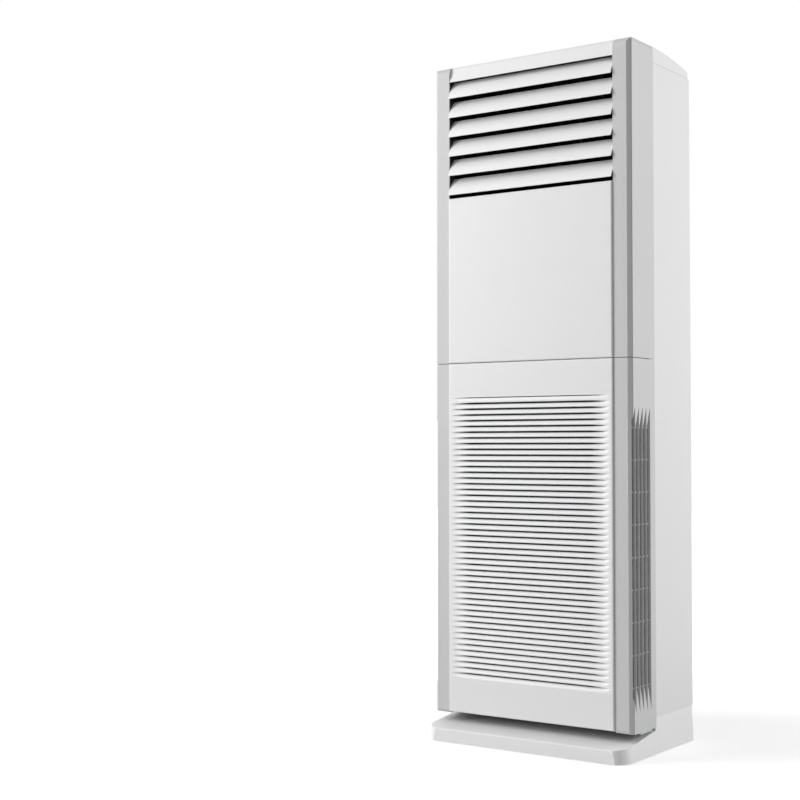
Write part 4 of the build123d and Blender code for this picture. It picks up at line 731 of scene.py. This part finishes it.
@dataclass
class Casing(SubAssembly):
    """Base, side and rear panels, pillars, cover and the fixed upper front."""

    nodes: tuple[str, ...] = ("base_", "rubber_", "floor_", "right_side", "left_side", "rear_",
                              "pipe_", "top_", "upper_", "lower_right", "lower_left", "middle_")
    # the base plinth takes the whiter copy of the white ABS, painted light
    special: dict[str, Surface] = field(default_factory=lambda: {"base_plinth": Surface.BASE_ABS_PAINTED_LIGHT})
    screen_at_mm: float = 274.6     # from the middle, just inside the pillars' sides
    screen_thick_mm: float = 0.8
    pleat_mm: float = 9.0
    pleat_depth_mm: float = 1.1
    steps: int = 93                 # nine to a pleat
    sharp_deg: float = 60.0         # over the pleats' bends, so that they stay smooth
    screen_near_mm: float = 13.0    # behind the pillars' faces
    screen_far_mm: float = 105.0
    screen_foot_mm: float = 100.0
    screen_head_mm: float = 868.0

    def screen(self, side: int) -> Patch:
        """Pleated screen behind one side's intake slots.

        The plan is a cosine wave along the depth, followed out on its outer face and back on
        its inner one, and carried upward.

        Args:
            side: 1 for the right side, -1 for the left.

        Returns:
            The closed sheet.
        """
        depth = np.linspace(self.screen_near_mm, self.screen_far_mm, self.steps)
        wave = self.screen_at_mm + self.pleat_depth_mm * np.cos(math.tau * depth / self.pleat_mm)
        across = side * np.concatenate([wave + self.screen_thick_mm / 2,
                                        wave[::-1] - self.screen_thick_mm / 2])
        back = FRONT / MM + np.concatenate([depth, depth[::-1]])
        height = np.array([self.screen_foot_mm, self.screen_head_mm])
        plan = np.broadcast_to(np.stack([across, back], axis=-1), (2, len(back), 2))
        rise = np.broadcast_to(height[:, None, None], (2, len(back), 1))
        return Patch.bar(np.concatenate([plan, rise], axis=-1) * MM)

    def build(self) -> None:
        """Hang a screen behind the slots of either side."""
        for name, side in (("right", 1), ("left", -1)):
            made = self.screen(side).piece(f"{name}_side_screen", sharp_deg=self.sharp_deg)
            self.palette.coat(made, Surface.SCREEN_NYLON)
            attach(made, "cabinet")


@dataclass
class Fasteners(SubAssembly):
    """Pan head screws of the back, each with a cross recess."""

    nodes: tuple[str, ...] = ("casing_screws",)
    head_mm: float = 4.2            # radius
    height_mm: float = 2.0          # in the middle
    rim_mm: float = 0.8             # height at the rim
    recess_mm: float = 1.3
    reach_mm: float = 2.6           # the cross's arms, from the middle
    runout_mm: float = 0.9
    arm_mm: float = 0.55            # half an arm's width
    draft_mm: float = 0.25
    shank_mm: float = 1.9           # radius
    length_mm: float = 8.0
    rings: tuple[int, int] = (12, 5)    # over the cross, and from there to the rim
    around: int = 48
    back_mm: float = 196.0          # y of the back's face
    across_mm: float = 272.0
    first_mm: float = 112.0
    pitch_mm: float = 317.2
    rows: int = 6

    def screw(self) -> Patch:
        """One screw about the origin, facing back, seat at zero.

        It is a surface over radius and angle.  The head's height is a dome that falls as the
        square of the radius, less a cross recess: its arms ease out over their draft across
        and over the runout at their ends.  Two more rings carry the shank.

        Returns:
            The screw, rings from the head's middle over the seat to the shank's end.
        """
        radius = np.concatenate([
            np.linspace(self.arm_mm / 4, self.reach_mm, self.rings[0]),
            np.linspace(self.reach_mm, self.head_mm, self.rings[1])[1:]])
        angle = np.linspace(0.0, math.tau, self.around, endpoint=False)
        r, a = np.meshgrid(radius, angle, indexing="ij")
        x, z = r * np.cos(a), r * np.sin(a)
        dome = self.height_mm - (self.height_mm - self.rim_mm) * (r / self.head_mm) ** 2
        aside = np.minimum(np.abs(x), np.abs(z))
        cut = (ease((self.arm_mm + self.draft_mm - aside) / self.draft_mm)
               * ease((self.reach_mm - r) / self.runout_mm))
        net = np.stack([x, dome - self.recess_mm * cut, z], axis=-1)
        rim = net[-1] * (1.0, 0.0, 1.0)
        neck = rim * (self.shank_mm / self.head_mm)
        end = neck - (0.0, self.length_mm, 0.0)
        return Patch.bar(np.concatenate([net, [rim, neck, end]]))

    def build(self) -> None:
        """Put a screw in each of the back's screw places."""
        screw = self.screw()
        places = [np.array([side * self.across_mm, self.back_mm, self.first_mm + k * self.pitch_mm])
                  for side in (-1, 1) for k in range(self.rows)]
        screws = Patch.join([screw.moved(place) for place in places])
        screws.points = screws.points * MM
        made = screws.piece("casing_screw_heads")
        self.palette.coat(made, Surface.ZINC_SCREW)
        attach(made, "cabinet")
        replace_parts(made, "casing_screws")


@dataclass
class IntakeDoor(SubAssembly):
    """Hinged intake panel with its louvred slots, and the filter behind it."""

    nodes: tuple[str, ...] = ("lower_intake_panel", "filter_")
    special: dict[str, Surface] = field(default_factory=lambda: {
        "filter_net": Surface.NET_NYLON})
    half_mm: float = 232.5          # half of the block's width
    tip_mm: float = 230.0           # the slots' ends, from the middle
    taper_mm: float = 62.0          # length over which a slot opens
    foot_mm: float = 161.0          # the block's height range
    head_mm: float = 888.0
    first_mm: float = 173.6         # middle of the lowest slot
    pitch_mm: float = 14.8
    slots: int = 49
    top_share: float = 0.45         # the highest slot is only a shallow one
    slot_half_mm: float = 2.2
    groove_mm: float = 26.0         # length over which a groove deepens
    round_mm: float = 1.3           # rounding of a rib's edges
    fall_mm: float = 7.2            # how far a rib's upper edge leans back
    bend: float = 2.3               # power of that lean
    fullness: float = 2.2           # power of the rounding's superellipse
    stations: int = 15              # across one taper
    steps: int = 15                 # up one rib
    proud_mm: float = 5.0           # the door's face before the pillars'
    thick_mm: float = 10.0          # depth of the ribs
    web_half_mm: float = 0.6
    web_reach_mm: float = 8.0
    web_sink_mm: float = 0.5        # the webs' roots, inside the ribs
    web_steps: int = 9              # round a web's blunt end
    web_span_mm: float = 205.0      # room that the CAD door's own webs take up
    web_gap_mm: float = 116.5       # between webs
    margin_mm: float = 1.0          # by which a cut clears what it takes out
    nick_mm: float = 0.1            # and by which it reaches into the ribs' depth

    def ribs(self) -> Patch:
        """The ribs between the slots, with the block's plain rows under and over them.

        Depth behind the door's face is a sum, scaled by how deep the grooves are at that place
        across: the fall times a power of the height on the rib, so that the rib leans back
        more and more towards its upper edge, and at each edge that borders a slot a rounding,
        which is one less the superellipse of the distance to the rib's middle.  Groove and
        opening ease from nothing at the tips to their full size, the groove much sooner, so
        all ribs run together at both ends.

        Returns:
            All ribs, as closed bars from one end of the block to the other.
        """
        taper = self.tip_mm - self.taper_mm * np.linspace(0.0, 1.0, self.stations)
        across = np.concatenate([[-self.half_mm], -taper, taper[::-1], [self.half_mm]])
        wide = ease((self.tip_mm - np.abs(across)) / self.taper_mm)[None, :, None]
        deep = ease((self.tip_mm - np.abs(across)) / self.groove_mm)[None, :, None]
        middle = self.first_mm + self.pitch_mm * np.arange(self.slots)
        low = np.concatenate([[self.foot_mm], middle])[:, None, None]
        high = np.concatenate([middle, [self.head_mm]])[:, None, None]
        share = np.ones(self.slots)
        share[-1] = self.top_share
        below = np.concatenate([[0.0], share])[:, None, None]
        above = np.concatenate([share, [0.0]])[:, None, None]
        floor = low + self.slot_half_mm * wide * below
        roof = high - self.slot_half_mm * wide * above
        step = (1.0 - np.cos(np.linspace(0.0, math.pi, self.steps))) / 2.0
        edge = 1.0 - (1.0 - np.abs(2.0 * step - 1.0) ** self.fullness) ** (1.0 / self.fullness)
        rounding = np.where(step < 0.5, below * edge, above * edge)
        depth = deep * (self.round_mm * rounding + self.fall_mm * above * step ** self.bend)
        face = FRONT / MM - self.proud_mm
        height = floor + (roof - floor) * step
        front = np.stack([np.broadcast_to(across[None, :, None], height.shape), face + depth,
                          height], axis=-1)
        back = front[:, :, [-1, 0]].copy()
        back[..., 1] = face + self.thick_mm
        nets = np.concatenate([front, back], axis=2) * MM
        return Patch.join([Patch.bar(net) for net in nets])

    def webs(self) -> Patch:
        """Thin upright webs behind the ribs.

        The plan of a web is half an ellipse, blunt end to the ribs, carried upward.

        Returns:
            Three closed bars.
        """
        turn = np.linspace(0.0, math.pi, self.web_steps)
        root = FRONT / MM - self.proud_mm + self.thick_mm - self.web_sink_mm
        across = self.web_half_mm * np.cos(turn)
        depth = root + self.web_reach_mm * np.sin(turn)
        height = np.array([[self.foot_mm + self.margin_mm], [self.head_mm - self.margin_mm]])
        net = np.stack(np.broadcast_arrays(across, depth, height), axis=-1)
        web = Patch.bar(net * MM)
        return Patch.join([web.moved(np.array([k * self.web_gap_mm * MM, 0.0, 0.0]))
                           for k in (-1, 0, 1)])

    def shell(self) -> Patch:
        """A copy of the CAD door without the block that the ribs and their webs fill.

        Returns:
            Face margins, turned-in edges, filter rails and hinge pegs.
        """
        face = FRONT / MM - self.proud_mm
        root = face + self.thick_mm
        body = bmesh.new()
        body.from_mesh(frame["nodes"]["lower_intake_panel"].data)
        bmesh.ops.remove_doubles(body, verts=body.verts, dist=1e-6)
        more = self.margin_mm
        self.clear(body, (-self.half_mm, face - more, self.foot_mm),
                   (self.half_mm, root, self.head_mm))
        self.clear(body, (-self.web_span_mm, root - self.nick_mm, self.foot_mm - more),
                   (self.web_span_mm, root + self.web_reach_mm + more, self.head_mm + more))
        patch = Patch.of_mesh(body)
        body.free()
        return patch

    @staticmethod
    def clear(body: bmesh.types.BMesh, foot: tuple[float, float, float],
              head: tuple[float, float, float]) -> None:
        """Cut a mesh along the six planes of a box and take out the faces inside.

        Args:
            body: the mesh, in metres.
            foot: the box's lowest corner in millimetres.
            head: its highest corner in millimetres.
        """
        low, high = np.array(foot) * MM, np.array(head) * MM
        for axis in range(3):
            across = np.eye(3)[axis]
            for level in (low[axis], high[axis]):
                bmesh.ops.bisect_plane(body, geom=[*body.verts, *body.edges, *body.faces],
                                       plane_co=across * level, plane_no=across)
        centres = np.array([face.calc_center_median()[:] for face in body.faces])
        inside = np.all((centres > low) & (centres < high), axis=1)
        bmesh.ops.delete(body, geom=[face for face, gone in zip(body.faces, inside) if gone],
                         context="FACES")

    def build(self) -> None:
        """Hang the shell in the CAD door's place, with the ribs in it and the webs behind them; the
        webs' dark grey is painted shade.
        """
        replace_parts(self.hang(self.shell(), "shell", Surface.WHITE_ABS, "white_moulding"),
                    "lower_intake_panel")
        # the ribs take the whiter copy of the white ABS, a painted highlight
        self.hang(self.ribs(), "ribs", Surface.RIB_ABS_PAINTED_HIGHLIGHT, "white_moulding")
        # the webs take the filter's dark grey as painted shade in the slots
        self.hang(self.webs(), "webs", Surface.FILTER_PP_AND_WEB_SHADE, "filter_moulding")

    def hang(self, patch: Patch, name: str, surface: Surface, slot: str) -> bpy.types.Object:
        """Make one piece of the door and let it ride on the door's body.

        Args:
            patch: its surface.
            name: what it is, for the piece's name.
            surface: its finish.
            slot: the record's slot that the finish stands for; not used.

        Returns:
            The piece.
        """
        made = patch.piece("intake_door_" + name)
        self.palette.coat(made, surface)
        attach(made, "intake_door")
        return made


@dataclass
class Outlet(SubAssembly):
    """Louvres, upright vanes, their frame and links, and the duct behind them."""

    nodes: tuple[str, ...] = ("outlet_", "louvre_", "vane_", "swing_")
    # the blades take the whiter copy of the white ABS, painted light
    special: dict[str, Surface] = field(default_factory=lambda: {
        f"louvre_{k + 1}": Surface.LOUVRE_ABS_PAINTED_LIGHT for k in range(LOUVRES)})


@dataclass
class Blower(SubAssembly):
    """Fan wheel in its scroll, with the motor on rubber feet."""

    nodes: tuple[str, ...] = ("blower_", "scroll_", "fan_", "motor_")


@dataclass
class Coil(SubAssembly):
    """Finned coil, its tray and its pipes."""

    nodes: tuple[str, ...] = ("coil_", "drain_", "gas_", "liquid_", "flare_")


@dataclass
class Controls(SubAssembly):
    """Electrical box, boards and terminals."""

    nodes: tuple[str, ...] = ("receiver_", "electrical_", "control_", "terminal_")


def main() -> None:
    """Dress and build each sub-assembly in order, then set up the studio."""
    logging.basicConfig(level=logging.INFO)
    palette = Palette()
    for group in (Casing, Outlet, IntakeDoor, Blower, Coil, Controls, Fasteners):
        made = group(palette)
        made.dress()
        made.build()
    Studio().build()


if __name__ == "__main__":
    main()
